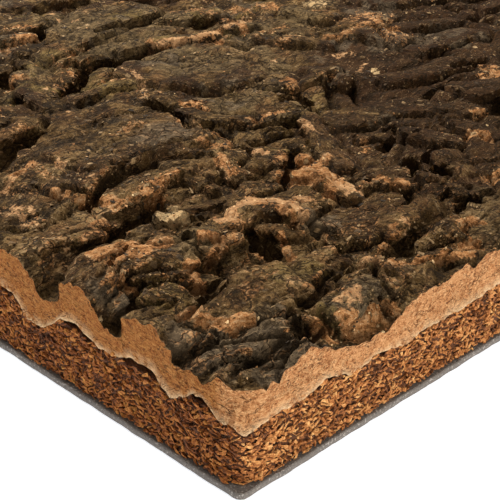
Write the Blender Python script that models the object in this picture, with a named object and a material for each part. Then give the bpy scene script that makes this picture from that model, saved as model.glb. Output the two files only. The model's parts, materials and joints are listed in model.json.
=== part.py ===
"""Cork bark slab: a square tile of virgin cork bark on a pressed cork board with a backing sheet.

The origin is at the middle of the tile's flat back, and +Z points out of the weathered bark.
The cut face at the lowest Y is the front, and the cut face at the highest X is the right side.
Places on the bark are given in millimetres from the near corner, where those two faces meet:
how far in from the right side, and how far back from the front.
"""
import math

import bmesh
import bpy
import numpy as np

MM = 0.001

# Driving dimensions of the tile, in metres
SIDE = 0.300
SHEET_THICK = 0.002
SHEET_CORNER = 0.004
BOARD_INSET = 0.001
BOARD_CORNER = 0.007
GAP = 0.0003

# Fineness of the modelled relief
TOP_CELLS = 62
BED_CELLS = 14
BED_INSET = 0.014
CORNER_STEPS = 4
SHARP_ANGLE = math.radians(50)

# Colours, as linear red, green and blue, and roughness
BARK_COLOUR = (0.075, 0.050, 0.032, 1.0)
BOARD_COLOUR = (0.300, 0.115, 0.045, 1.0)
SHEET_COLOUR = (0.075, 0.075, 0.080, 1.0)
CORK_ROUGHNESS = 0.92
SHEET_ROUGHNESS = 0.80

# Heights above the tile's back, in millimetres
VALLEY_FLOOR = 26.0
UNDER_FLOOR = 22.0
BED_MEAN = 19.0
BARK_LEAST = 3.5

# How a plate of bark falls away: slope and shoulder at its rim, crown at its middle, and tilts
RIM_SLOPE = 1.05
RIM_INSET = 0.6
SHOULDER = 2.4
CROWN = 1.2
CROWN_REACH = 2.0
TILT = 1.2
GROWN_TILT = 1.5
TILT_REACH = 1.5
PLATE_SQUARENESS = 2.5

# How neighbouring plates meet, in millimetres of height
BLEND = 0.8
CREASE_DEPTH = 1.6
CREASE_WIDTH = 0.9
FISSURE_SHARPNESS = 2.6

# Wander of the outlines, and swell and crags of the faces: amplitude and size in millimetres
BROAD_WANDER = (2.6, 15.0)
FINE_WANDER = (1.5, 6.0)
BROAD_SWELL = (0.8, 38.0)
FLOOR_SWELL = (0.9, 12.0)
CRAGS = (1.0, 5.5)
BED_SWELL = (1.8, 13.0)
BED_RIPPLE = (0.6, 6.0)
GRAIN_STRETCH = 2.2
NOISE_CELLS = 97
WANDER_SEEDS = (1, 3)
FLOOR_SEED = 5
SWELL_SEED = 6
BED_SEEDS = (7, 8)
CRAG_SEED = 31

# How far from a near cut face the surface is drawn to that cut's profile, and how a profile ends
EDGE_REACH = 6.0
PROFILE_FADE = 12.0
FAR_AWAY = 99.0
FARTHEST_STEPS = 30.0

# Plates of bark: in, back, half width, half length, lean in degrees, top
PLATES = (
    (94, 16, 18, 21, 4, 34.0),
    (99, 56, 7, 23, 12, 35.5),
    (95, 38, 8, 6, -45, 33.0),
    (87, 66, 9, 17, 3, 32.5),
    (97, 85, 8, 11, -2, 33.5),
    (119, 62, 19, 28, -3, 38.0),
    (150, 65, 12, 14, 3, 36.0),
    (143, 121, 22, 21, -45, 38.5),
    (206, 125, 15, 34, 7, 37.0),
    (183, 89, 10, 18, 21, 36.0),
    (175, 130, 6, 38, -13, 38.0),
    (119, 103, 6, 14, -30, 34.0),
    (61, 14, 8, 20, -3, 36.0),
    (54, 5, 7, 6, -8, 33.5),
    (44, 19, 11, 11, 8, 34.5),
    (54, 36, 8, 12, 13, 35.0),
    (50, 58, 10, 18, 10, 36.5),
    (44, 59, 6, 12, 3, 32.5),
    (26, 32, 8, 29, -7, 35.0),
    (15, 54, 7, 12, -19, 33.5),
    (4, 63, 6, 6, -4, 32.5),
    (10, 49, 5, 7, -54, 32.0),
    (12, 69, 5, 15, -42, 33.5),
    (13, 89, 9, 16, -3, 34.5),
    (32, 84, 11, 22, -2, 34.5),
    (62, 93, 5, 11, -89, 35.5),
    (81, 94, 8, 12, 8, 34.5),
    (11, 109, 10, 16, 9, 32.0),
    (32, 117, 6, 11, -28, 34.5),
    (52, 110, 8, 15, -24, 33.5),
    (81, 150, 16, 30, -5, 35.0),
    (38, 137, 9, 14, -9, 35.0),
    (137, 197, 5, 17, 16, 37.0),
    (127, 202, 5, 9, -10, 36.5),
    (104, 122, 10, 17, -12, 34.5),
    (4, 51, 5, 6, -45, 28.5),
    (12, 18, 8, 17, -6, 29.5),
    (0, 17, 3, 12, 6, 31.0),
    (5, 34, 2.5, 4, 4, 30.5),
)

# Fissures: the places that each one runs through, its half width and its depth
FISSURES = (
    (((182, 93), (181, 102), (189, 121), (196, 141)), 3.0, 8.0),
    (((147, 38), (157, 51), (156, 58)), 3.0, 7.0),
    (((185, 66), (186, 75)), 3.0, 7.0),
    (((168, 64), (157, 65), (147, 63)), 1.2, 3.0),
    (((199, 173), (195, 185)), 2.0, 5.0),
    (((144, 97), (139, 102), (129, 98), (120, 96), (121, 105)), 2.2, 6.0),
    (((117, 91), (118, 79), (115, 62), (110, 44)), 2.5, 6.0),
    (((97, 57), (97, 49), (93, 39), (86, 23), (78, 8), (74, 0)), 4.5, 6.0),
    (((82, 48), (74, 48), (70, 52)), 1.6, 5.0),
    (((54, 16), (55, 12), (53, 6), (46, -1)), 2.0, 7.0),
    (((61, 12), (56, 11), (51, 10)), 1.2, 3.0),
    (((43, 61), (51, 53), (45, 38), (43, 24), (42, 16)), 4.0, 6.0),
    (((57, 60), (53, 64)), 2.5, 6.0),
    (((48, 79), (44, 80)), 2.5, 5.0),
    (((60, 83), (55, 87)), 2.5, 6.0),
    (((28, 86), (31, 102), (33, 116), (28, 125), (29, 136)), 2.0, 6.0),
    (((17, 68), (9, 62), (2, 59)), 1.0, 4.0),
    (((23, 54), (21, 47), (20, 44)), 1.2, 4.0),
    (((13, 40), (12, 30), (13, 18), (9, 7)), 1.8, 5.0),
    (((16, 46), (6, 43), (0, 42)), 2.2, 5.0),
    (((124, 141), (117, 146)), 2.0, 5.0),
    (((121, 163), (107, 149)), 1.5, 4.0),
    (((140, 211), (125, 200)), 1.5, 4.0),
    (((104, 106), (101, 114), (99, 123)), 2.0, 5.0),
    (((75, 136), (68, 132), (58, 130), (47, 126), (53, 143)), 2.5, 5.0),
)

# The rest of the bark grows by rule, in rows along the grain
ROW_STEP = 27.0
PLATE_STEP = 44.0
PLATE_JITTER = 8.0
PLATE_HALF_WIDTH = (9.0, 17.0)
PLATE_HALF_LENGTH = (22.0, 46.0)
PLATE_LEAN = (-14.0, 12.0)
PLATE_TOP = (29.5, 37.0)
ROOM_LEFT = 1.15
GROWTH_SEED = 41

# Fissures that open by rule where no plate was placed by hand
FISSURE_COUNT = 46
FISSURE_RUN = (14.0, 34.0)
FISSURE_JOINTS = 4
FISSURE_DRIFT = 4.0
FISSURE_HALF_WIDTH = (1.6, 3.2)
FISSURE_FULL_DEPTH = (4.0, 7.5)
FISSURE_SEED = 88

# Where the saw met the bark: place along the cut, height of the weathered face
FRONT_TOP = (
    (0, 32.0), (6, 29.0), (9, 31.5), (14, 27.0), (18, 29.7), (23, 28.3), (25, 33.0), (30, 35.2),
    (36, 36.0), (43, 33.0), (48, 27.2), (53, 31.0), (60, 35.8), (65, 34.7), (71, 28.0), (76, 24.8),
    (82, 31.0), (90, 33.6),
)
RIGHT_TOP = (
    (0, 30.5), (5, 27.6), (13, 29.1), (20, 31.4), (25, 33.5), (32, 29.9), (42, 26.3), (54, 25.2),
    (59, 28.7), (66, 30.4), (74, 32.0), (79, 30.4), (83, 33.4), (90, 32.5), (100, 31.2),
)

# Where the saw met the bark's inner face: place along the cut, height
FRONT_BED = (
    (0, 20.7), (3, 23.0), (6, 21.0), (8, 18.8), (11, 20.9), (17, 23.0), (20, 20.8), (25.5, 17.8),
    (29, 20.0), (32, 23.0), (40, 22.4), (46, 20.7), (53, 19.9), (57, 21.6), (62, 22.8), (69, 22.0),
    (73, 18.5), (78, 15.2), (85, 15.1), (87, 18.0), (90, 21.0), (98, 21.2),
)
RIGHT_BED = (
    (0, 20.5), (4, 18.3), (14, 19.8), (24, 17.8), (26, 20.0), (34, 20.3), (40, 18.0), (47, 18.5),
    (50, 19.8), (62, 17.4), (68, 18.9), (83, 18.6), (101, 19.4),
)

TILE_COLLECTION = "cork_bark_slab"


def noise(u, v, size, seed):
    """Smooth noise between -1 and 1, with bumps about size millimetres across."""
    cells = NOISE_CELLS
    values = np.random.default_rng(seed).uniform(-1.0, 1.0, (cells, cells))
    across, along = np.asarray(u) / size, np.asarray(v) / size
    i, j = np.floor(across).astype(int), np.floor(along).astype(int)
    s, t = across - i, along - j
    s, t = s * s * (3.0 - 2.0 * s), t * t * (3.0 - 2.0 * t)
    i, j, next_i, next_j = i % cells, j % cells, (i + 1) % cells, (j + 1) % cells
    low = values[i, j] * (1.0 - s) + values[next_i, j] * s
    high = values[i, next_j] * (1.0 - s) + values[next_i, next_j] * s
    return low * (1.0 - t) + high * t


def plate_axes(u, v, plate):
    """Place across and along a plate's length, in half widths and half lengths."""
    turn = math.radians(plate[4])
    across = (u - plate[0]) * math.cos(turn) - (v - plate[1]) * math.sin(turn)
    along = (u - plate[0]) * math.sin(turn) + (v - plate[1]) * math.cos(turn)
    return across / plate[2], along / plate[3]


def rim_distance(across, along):
    """0 at a plate's middle, 1 on its rim and more outside."""
    power = PLATE_SQUARENESS
    return (np.abs(across) ** power + np.abs(along) ** power) ** (1.0 / power)


def has_room(u, v):
    """Whether a place is clear of every plate that was placed by hand."""
    return min(rim_distance(*plate_axes(u, v, plate)) for plate in PLATES) >= ROOM_LEFT


def grown_plates():
    """The hand-placed plates, and seeded ones in rows wherever those leave room."""
    rng = np.random.default_rng(GROWTH_SEED)
    plates = [plate + tuple(rng.uniform(-TILT, TILT, 2)) for plate in PLATES]
    rows = int(SIDE / MM / ROW_STEP) + 2
    columns = int(SIDE / MM / PLATE_STEP) + 2
    for row in range(rows):
        for column in range(columns):
            shift = rng.uniform(-PLATE_JITTER, PLATE_JITTER, 2)
            middle_in = row * ROW_STEP + shift[0]
            middle_back = (column + 0.5 * (row % 2)) * PLATE_STEP + shift[1]
            half_width = rng.uniform(*PLATE_HALF_WIDTH)
            half_length = rng.uniform(*PLATE_HALF_LENGTH)
            lean = rng.uniform(*PLATE_LEAN)
            top = rng.uniform(*PLATE_TOP)
            tilts = tuple(rng.uniform(-GROWN_TILT, GROWN_TILT, 2))
            if has_room(middle_in, middle_back):
                plates.append((middle_in, middle_back, half_width, half_length, lean, top) + tilts)
    return plates


def plate_level(u, v, plate):
    """Height of one plate of bark, as if it stood alone."""
    across, along = plate_axes(u, v, plate)
    rim = rim_distance(across, along)
    inside = (1.0 - rim) * min(plate[2], plate[3])
    steps_out = np.clip((RIM_INSET - inside) / SHOULDER, -FARTHEST_STEPS, FARTHEST_STEPS)
    fall = RIM_SLOPE * SHOULDER * np.log1p(np.exp(steps_out))
    crown = CROWN * np.minimum(rim, CROWN_REACH) ** 2
    tilt = plate[6] * np.clip(across, -TILT_REACH, TILT_REACH)
    tilt = tilt + plate[7] * np.clip(along, -TILT_REACH, TILT_REACH)
    return plate[5] - tilt - crown - fall


def grown_fissures():
    """The hand-placed fissures, and seeded ones that wander along the grain elsewhere."""
    rng = np.random.default_rng(FISSURE_SEED)
    fissures = list(FISSURES)
    for _ in range(FISSURE_COUNT):
        start_in, start_back = rng.uniform(0.0, SIDE / MM, 2)
        run = rng.uniform(*FISSURE_RUN)
        drift = rng.uniform(-FISSURE_DRIFT, FISSURE_DRIFT, FISSURE_JOINTS)
        half_width = rng.uniform(*FISSURE_HALF_WIDTH)
        full_depth = rng.uniform(*FISSURE_FULL_DEPTH)
        steps = np.linspace(0.0, run, FISSURE_JOINTS)
        places = [(start_in + off, start_back + step) for off, step in zip(drift, steps)]
        if all(has_room(*place) for place in places):
            fissures.append((places, half_width, full_depth))
    return fissures


def fissure_depth(u, v):
    """Depth of the long fissures below the plates round them."""
    depth = np.zeros_like(u)
    for places, half_width, full_depth in grown_fissures():
        away = np.full_like(u, FAR_AWAY)
        for start, end in zip(places[:-1], places[1:]):
            run_in, run_back = end[0] - start[0], end[1] - start[1]
            share = (u - start[0]) * run_in + (v - start[1]) * run_back
            share = np.clip(share / (run_in ** 2 + run_back ** 2), 0.0, 1.0)
            off = np.hypot(u - start[0] - share * run_in, v - start[1] - share * run_back)
            away = np.minimum(away, off)
        depth = np.maximum(depth, full_depth * np.exp(-((away / half_width) ** FISSURE_SHARPNESS)))
    return depth


def cut_profile(places, profile):
    """Height along a cut edge where it is known, and how much that place counts."""
    stations, heights = zip(*profile)
    known = np.clip((stations[-1] - places) / PROFILE_FADE + 0.5, 0.0, 1.0)
    return np.interp(places, stations, heights), known


def follow_cuts(u, v, height_at, front, right):
    """Surface heights, drawn to the profiles of the two near cut faces close to them."""
    height = height_at(u, v)
    for profile, away, along, edge in (
        (front, v, u, height_at(u, np.zeros_like(v))),
        (right, u, v, height_at(np.zeros_like(u), v)),
    ):
        wanted, known = cut_profile(along, profile)
        height = height + (wanted - edge) * known * np.exp(-((away / EDGE_REACH) ** 2))
    return height


def wander(u, v, broad, fine):
    """Places moved about smoothly, so that outlines and fissures run crookedly."""
    moves = [
        broad * noise(u, v, BROAD_WANDER[1], seed) + fine * noise(u, v, FINE_WANDER[1], seed + 1)
        for seed in WANDER_SEEDS
    ]
    return u + moves[0], v + moves[1]


def plate_relief(u, v):
    """Height of the weathered face from its plates, valleys and fissures."""
    plate_u, plate_v = wander(u, v, BROAD_WANDER[0], FINE_WANDER[0])
    highest = VALLEY_FLOOR + FLOOR_SWELL[0] * noise(u, v, FLOOR_SWELL[1], FLOOR_SEED)
    second = np.full_like(highest, UNDER_FLOOR)
    for plate in grown_plates():
        level = plate_level(plate_u, plate_v, plate)
        second = np.maximum(second, np.minimum(highest, level))
        highest = np.maximum(highest, level)
    lead = highest - second
    height = highest + BLEND * np.log1p(np.exp(-lead / BLEND))
    height = height - CREASE_DEPTH * np.exp(-((lead / CREASE_WIDTH) ** 2))
    height = height - fissure_depth(*wander(u, v, 0.0, FINE_WANDER[0]))
    height = height + BROAD_SWELL[0] * noise(u, v, BROAD_SWELL[1], SWELL_SEED)
    height = height + CRAGS[0] * noise(u, v / GRAIN_STRETCH, CRAGS[1], CRAG_SEED)
    return np.maximum(height, inner_height(u, v) + BARK_LEAST)


def weathered_height(u, v):
    """Height of the bark's weathered face, in millimetres above the tile's back."""
    return follow_cuts(u, v, plate_relief, FRONT_TOP, RIGHT_TOP)


def inner_swell(u, v):
    """Height of the bark's inner face away from the two near cuts."""
    swell = BED_SWELL[0] * noise(u, v, BED_SWELL[1], BED_SEEDS[0])
    return BED_MEAN + swell + BED_RIPPLE[0] * noise(u, v, BED_RIPPLE[1], BED_SEEDS[1])


def inner_height(u, v):
    """Height of the bark's inner face, where it beds on the pressed board."""
    return follow_cuts(u, v, inner_swell, FRONT_BED, RIGHT_BED)


def from_corner(x, y):
    """Millimetres in from the right side and back from the front."""
    return (SIDE / 2 - x) / MM, (y + SIDE / 2) / MM


def round_corners(verts, half, radius):
    """Draws the corners of a square sheet of vertices in to arcs."""
    for vert in verts:
        over_x = abs(vert.co.x) - (half - radius)
        over_y = abs(vert.co.y) - (half - radius)
        if over_x > 0.0 and over_y > 0.0:
            pull = max(over_x, over_y) / math.hypot(over_x, over_y)
            vert.co.x = math.copysign(half - radius + over_x * pull, vert.co.x)
            vert.co.y = math.copysign(half - radius + over_y * pull, vert.co.y)


def set_heights(verts, height_at, lift=0.0):
    """Moves vertices to the height that a relief gives them."""
    x = np.array([vert.co.x for vert in verts])
    y = np.array([vert.co.y for vert in verts])
    heights = height_at(*from_corner(x, y)) * MM + lift
    for vert, height in zip(verts, heights):
        vert.co.z = height


def grid_sheet(bm, cells, half):
    """A flat square sheet of cells: its vertices, and the open edges round it."""
    verts = bmesh.ops.create_grid(bm, x_segments=cells, y_segments=cells, size=half)["verts"]
    own = set(verts)
    rim = [edge for edge in bm.edges if edge.is_boundary and edge.verts[0] in own]
    return verts, rim


def rim_loop(bm, half):
    """The outline of the bark and the board, with rounded corners and nothing inside it."""
    verts, rim = grid_sheet(bm, TOP_CELLS, half)
    kept = [vert for vert in verts if vert.is_boundary]
    inside = [vert for vert in verts if not vert.is_boundary]
    bmesh.ops.delete(bm, geom=inside, context="VERTS")
    round_corners(kept, half, BOARD_CORNER)
    return kept, rim


def bed_sheet(bm, half, lift):
    """The uneven sheet where bark and board meet: a fine border round a coarse middle."""
    rim_verts, rim = rim_loop(bm, half)
    middle_verts, middle_rim = grid_sheet(bm, BED_CELLS, half - BED_INSET)
    bmesh.ops.bridge_loops(bm, edges=rim + middle_rim)
    set_heights(rim_verts + middle_verts, inner_height, lift)
    return rim


def finish_mesh(bm, name):
    """Turns a bmesh into a triangulated mesh with its faces outward and its sawn edges sharp."""
    bmesh.ops.triangulate(bm, faces=bm.faces, quad_method="FIXED", ngon_method="EAR_CLIP")
    bmesh.ops.recalc_face_normals(bm, faces=bm.faces)
    mesh = bpy.data.meshes.new(name)
    bm.to_mesh(mesh)
    bm.free()
    mesh.shade_smooth()
    mesh.set_sharp_from_angle(angle=SHARP_ANGLE)
    return mesh


def cork_material(name, colour, roughness):
    """A plain Principled material."""
    material = bpy.data.materials.new(name)
    material.use_nodes = True
    shader = material.node_tree.nodes["Principled BSDF"]
    shader.inputs["Base Color"].default_value = colour
    shader.inputs["Roughness"].default_value = roughness
    shader.inputs["Metallic"].default_value = 0.0
    material.diffuse_color = colour
    return material


def add_piece(name, mesh, material):
    """Puts a finished mesh in the tile's collection."""
    mesh.materials.append(material)
    piece = bpy.data.objects.new(name, mesh)
    bpy.data.collections[TILE_COLLECTION].objects.link(piece)
    return piece


def bark_slab():
    """The piece of virgin bark: weathered top, sawn sides and uneven inner face."""
    half = SIDE / 2 - BOARD_INSET
    bm = bmesh.new()
    top_verts, top_rim = grid_sheet(bm, TOP_CELLS, half)
    round_corners(top_verts, half, BOARD_CORNER)
    set_heights(top_verts, weathered_height)
    bed_rim = bed_sheet(bm, half, 0.0)
    bmesh.ops.bridge_loops(bm, edges=top_rim + bed_rim)
    material = cork_material("weathered_cork_bark", BARK_COLOUR, CORK_ROUGHNESS)
    return add_piece("bark_slab", finish_mesh(bm, "bark_slab"), material)


def pressed_cork_board():
    """The board of pressed granules: its top follows the bark's inner face."""
    half = SIDE / 2 - BOARD_INSET
    bm = bmesh.new()
    rim = bed_sheet(bm, half, -GAP)
    made = bmesh.ops.extrude_edge_only(bm, edges=rim)
    lower = {item for item in made["geom"] if isinstance(item, bmesh.types.BMVert)}
    for vert in lower:
        vert.co.z = SHEET_THICK + GAP
    lower_rim = [edge for edge in bm.edges if all(vert in lower for vert in edge.verts)]
    bmesh.ops.contextual_create(bm, geom=lower_rim)
    material = cork_material("pressed_cork", BOARD_COLOUR, CORK_ROUGHNESS)
    return add_piece("pressed_cork_board", finish_mesh(bm, "pressed_cork_board"), material)


def backing_sheet():
    """The thin sheet on the tile's back, with rounded corners."""
    bm = bmesh.new()
    bmesh.ops.create_cube(bm, size=1.0)
    bmesh.ops.scale(bm, vec=(SIDE, SIDE, SHEET_THICK), verts=bm.verts)
    bmesh.ops.translate(bm, vec=(0.0, 0.0, SHEET_THICK / 2), verts=bm.verts)
    uprights = [edge for edge in bm.edges if abs(edge.verts[0].co.z - edge.verts[1].co.z) > 0.0]
    bmesh.ops.bevel(
        bm, geom=uprights, offset=SHEET_CORNER, segments=CORNER_STEPS, profile=0.5, affect="EDGES"
    )
    material = cork_material("backing_sheet", SHEET_COLOUR, SHEET_ROUGHNESS)
    return add_piece("backing_sheet", finish_mesh(bm, "backing_sheet"), material)


def main():
    for item in list(bpy.data.objects):
        bpy.data.objects.remove(item, do_unlink=True)
    collection = bpy.data.collections.new(TILE_COLLECTION)
    bpy.context.scene.collection.children.link(collection)
    bark_slab()
    pressed_cork_board()
    backing_sheet()


main()
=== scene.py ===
import json
import math

import bmesh
import bpy
import numpy as np
from bpy.props import FloatProperty, FloatVectorProperty, IntProperty, PointerProperty
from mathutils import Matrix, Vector

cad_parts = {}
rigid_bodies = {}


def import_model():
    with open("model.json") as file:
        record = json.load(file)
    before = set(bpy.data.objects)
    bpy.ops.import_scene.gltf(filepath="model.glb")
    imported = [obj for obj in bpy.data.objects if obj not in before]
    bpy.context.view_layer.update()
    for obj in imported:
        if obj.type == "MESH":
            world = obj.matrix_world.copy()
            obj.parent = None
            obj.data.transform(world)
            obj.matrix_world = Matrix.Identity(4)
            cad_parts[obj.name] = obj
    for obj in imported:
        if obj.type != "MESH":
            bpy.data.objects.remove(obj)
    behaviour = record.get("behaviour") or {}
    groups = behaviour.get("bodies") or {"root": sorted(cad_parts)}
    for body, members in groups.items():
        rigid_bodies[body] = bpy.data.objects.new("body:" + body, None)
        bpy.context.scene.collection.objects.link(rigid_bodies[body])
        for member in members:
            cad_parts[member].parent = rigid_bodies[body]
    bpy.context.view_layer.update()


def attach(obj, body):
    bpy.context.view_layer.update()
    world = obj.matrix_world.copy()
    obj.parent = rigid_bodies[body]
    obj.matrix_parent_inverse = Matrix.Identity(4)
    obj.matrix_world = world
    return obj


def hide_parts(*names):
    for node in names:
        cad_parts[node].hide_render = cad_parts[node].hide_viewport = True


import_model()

bl_info = {
    "name": "Cork bark slab",
    "version": (1, 0, 0),
    "blender": (4, 5, 0),
    "location": "3D View > Sidebar > Cork",
    "description": "Makes a tile of weathered cork bark on a pressed cork board with a backing sheet",
    "category": "Object",
}

MM = 0.001

# The tile, in millimetres. Places on it are given as how far in from its right side and back from its front
SIDE = 300.0
INSET = 1.0
CORNER = 7.0
GAP = 0.3
SHEET_TOP = 2.0
SHEET_CORNER = 2.5
BARK_LEAST = 3.5

# Ridges of bark: half width, and the places that the crest runs through, with its height at each
RIDGES = (
    (17, ((122, 59, 38), (119, 77, 38), (114, 83, 36.5))),
    (15, ((112, 21, 35), (117, 40, 37), (122, 59, 38))),
    (14, ((105, 0, 33.5), (99, 10, 34.5), (96, 21, 33.5))),
    (7, ((97, 37, 33), (97, 45, 35), (98, 58, 36), (98, 72, 36), (93, 74, 35))),
    (4, ((91, 52, 34), (86, 50, 33))),
    (8, ((81, 50, 31.5), (78, 58, 33), (77, 69, 33.5), (76, 79, 34))),
    (2.6, ((74, 46, 35.6), (73, 49, 35.8))),
    (6, ((103, 84, 37), (94, 84, 36.5), (85, 81, 35))),
    (5, ((91, 69, 35), (84, 69, 34.5))),
    (5, ((62, 46, 35), (56, 46, 36), (51, 38, 34))),
    (6, ((61, 57, 35.5), (61, 64, 37), (57, 70, 37.5), (52, 73, 36.5))),
    (5, ((56, 62, 33.5), (48, 67, 33.5))),
    (5, ((53, 52, 31), (48, 53, 31))),
    (7, ((61, 36, 34.5), (58, 40, 35))),
    (9.5, ((60, -6, 35.8), (65, 9, 36), (65, 19, 36.5), (63, 28, 36), (59, 31, 35))),
    (7, ((56, 0, 33.5), (51, 3, 33.5), (52, 11, 34))),
    (9, ((48, 18, 34), (44, 22, 34))),
    (7, ((56, 21, 34.5), (50, 30, 34.5))),
    (8, ((36, -3, 36), (37, 5, 34.5), (31, 7, 34))),
    (8.5, ((22, 56, 35), (22, 47, 35.3), (25, 35, 35.3), (28, 24, 35), (29, 13, 34))),
    (9, ((27, 3, 30.5), (21, 13, 31.5), (16, 26, 32.3))),
    (5, ((21, -1, 29.5), (15, 5, 30.5), (9, 11, 30.5), (7, 17, 30))),
    (3.5, ((6, 1, 29.5), (4, 7, 30.5), (3, 16, 31), (3, 24, 31))),
    (2.5, ((4, 33, 30.5), (3, 33, 30.5))),
    (6, ((14, 39, 34), (12, 46, 35), (13, 56, 35.5), (11, 60, 35))),
    (3, ((9, 41, 33.5), (8, 46, 34.5), (6, 52, 34.5))),
    (6, ((8, 62, 34.5), (2, 64, 33.5), (-1, 66, 32.5))),
    (5, ((6, 43, 29), (1, 47, 29.5), (1, 54, 29.5))),
    (3.5, ((22, 60, 34.5), (18, 65, 35.5), (12, 66, 35.5))),
    (5, ((11, 69, 34.5), (8, 75, 34), (3, 79, 33.5), (1, 86, 32.5))),
    (5, ((19, 88, 33), (19, 98, 34.5), (13, 100, 33.5))),
    (4, ((13, 82, 33), (9, 89, 33.5), (5, 92, 32.5))),
    (10, ((13, 107, 34), (13, 119, 34.5), (11, 133, 34.5))),
    (11, ((44, 79, 34), (39, 81, 35), (34, 91, 35.5), (33, 98, 35))),
    (4.5, ((69, 93, 35), (63, 95, 36.5), (54, 94, 35.5), (49, 94, 35))),
    (4, ((50, 103, 34.5), (46, 109, 35), (42, 110, 34.5))),
    (7, ((42, 97, 34.5), (39, 103, 34.5))),
    (6.5, ((87, 90, 34.5), (84, 96, 36), (80, 100, 35.5))),
    (5, ((37, 113, 33.5), (37, 120, 34.5), (31, 119, 34.5), (27, 121, 33.5))),
    (6, ((44, 134, 36), (36, 130, 35.5), (28, 126, 34.5))),
    (6, ((66, 139, 36), (58, 141, 36), (52, 142, 36))),
    (10, ((89, 135, 35.5), (87, 150, 34), (80, 163, 34), (69, 167, 35.5))),
    (5, ((95, 124, 36), (78, 114, 35.5), (64, 108, 35))),
    (3, ((73, 125, 36), (68, 134, 36))),
    (2.5, ((105, 109, 36), (103, 116, 36.5), (101, 127, 36))),
    (2.5, ((96, 107, 35), (92, 117, 35))),
    (13, ((159, 115, 37.5), (149, 121, 38), (141, 131, 37.5))),
    (10, ((134, 134, 36.5), (126, 140, 37))),
    (6, ((125, 99, 36.5), (117, 103, 36.5), (113, 108, 36))),
    (14, ((209, 106, 37), (212, 122, 38), (217, 142, 38))),
    (7, ((191, 117, 36.5), (188, 136, 37), (178, 153, 37))),
    (4, ((193, 99, 36), (188, 108, 36.5), (183, 123, 36.5))),
    (8, ((195, 89, 35.5), (177, 79, 35.5), (166, 76, 35.5))),
    (6, ((161, 84, 36.5), (159, 95, 37.5), (162, 105, 37.5))),
    (7, ((227, 98, 37), (222, 105, 37))),
    (5, ((154, 44, 36.5), (156, 57, 36.5), (147, 58, 35.5))),
    (4, ((131, 30, 34.5), (132, 38, 35.5))),
    (7, ((201, 156, 37), (194, 170, 37))),
    (4, ((176, 164, 37), (173, 172, 37))),
    (3.5, ((164, 156, 36), (158, 156, 36))),
    (6, ((155, 168, 37), (145, 173, 37.5), (138, 177, 37))),
    (7, ((141, 189, 36.5), (134, 196, 38), (124, 200, 38))),
    (6, ((119, 145, 36.5), (118, 155, 37.5), (112, 156, 37.5))),
    (8, ((171, 200, 37), (161, 203, 37))),
    (9, ((114, 204, 36.5), (109, 222, 36.5))),
    (9, ((101, 177, 35.5), (97, 195, 35.5))),
    (8, ((74, 183, 36), (71, 195, 36))),
    (7, ((57, 160, 35.5), (48, 158, 35.5))),
)

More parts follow.
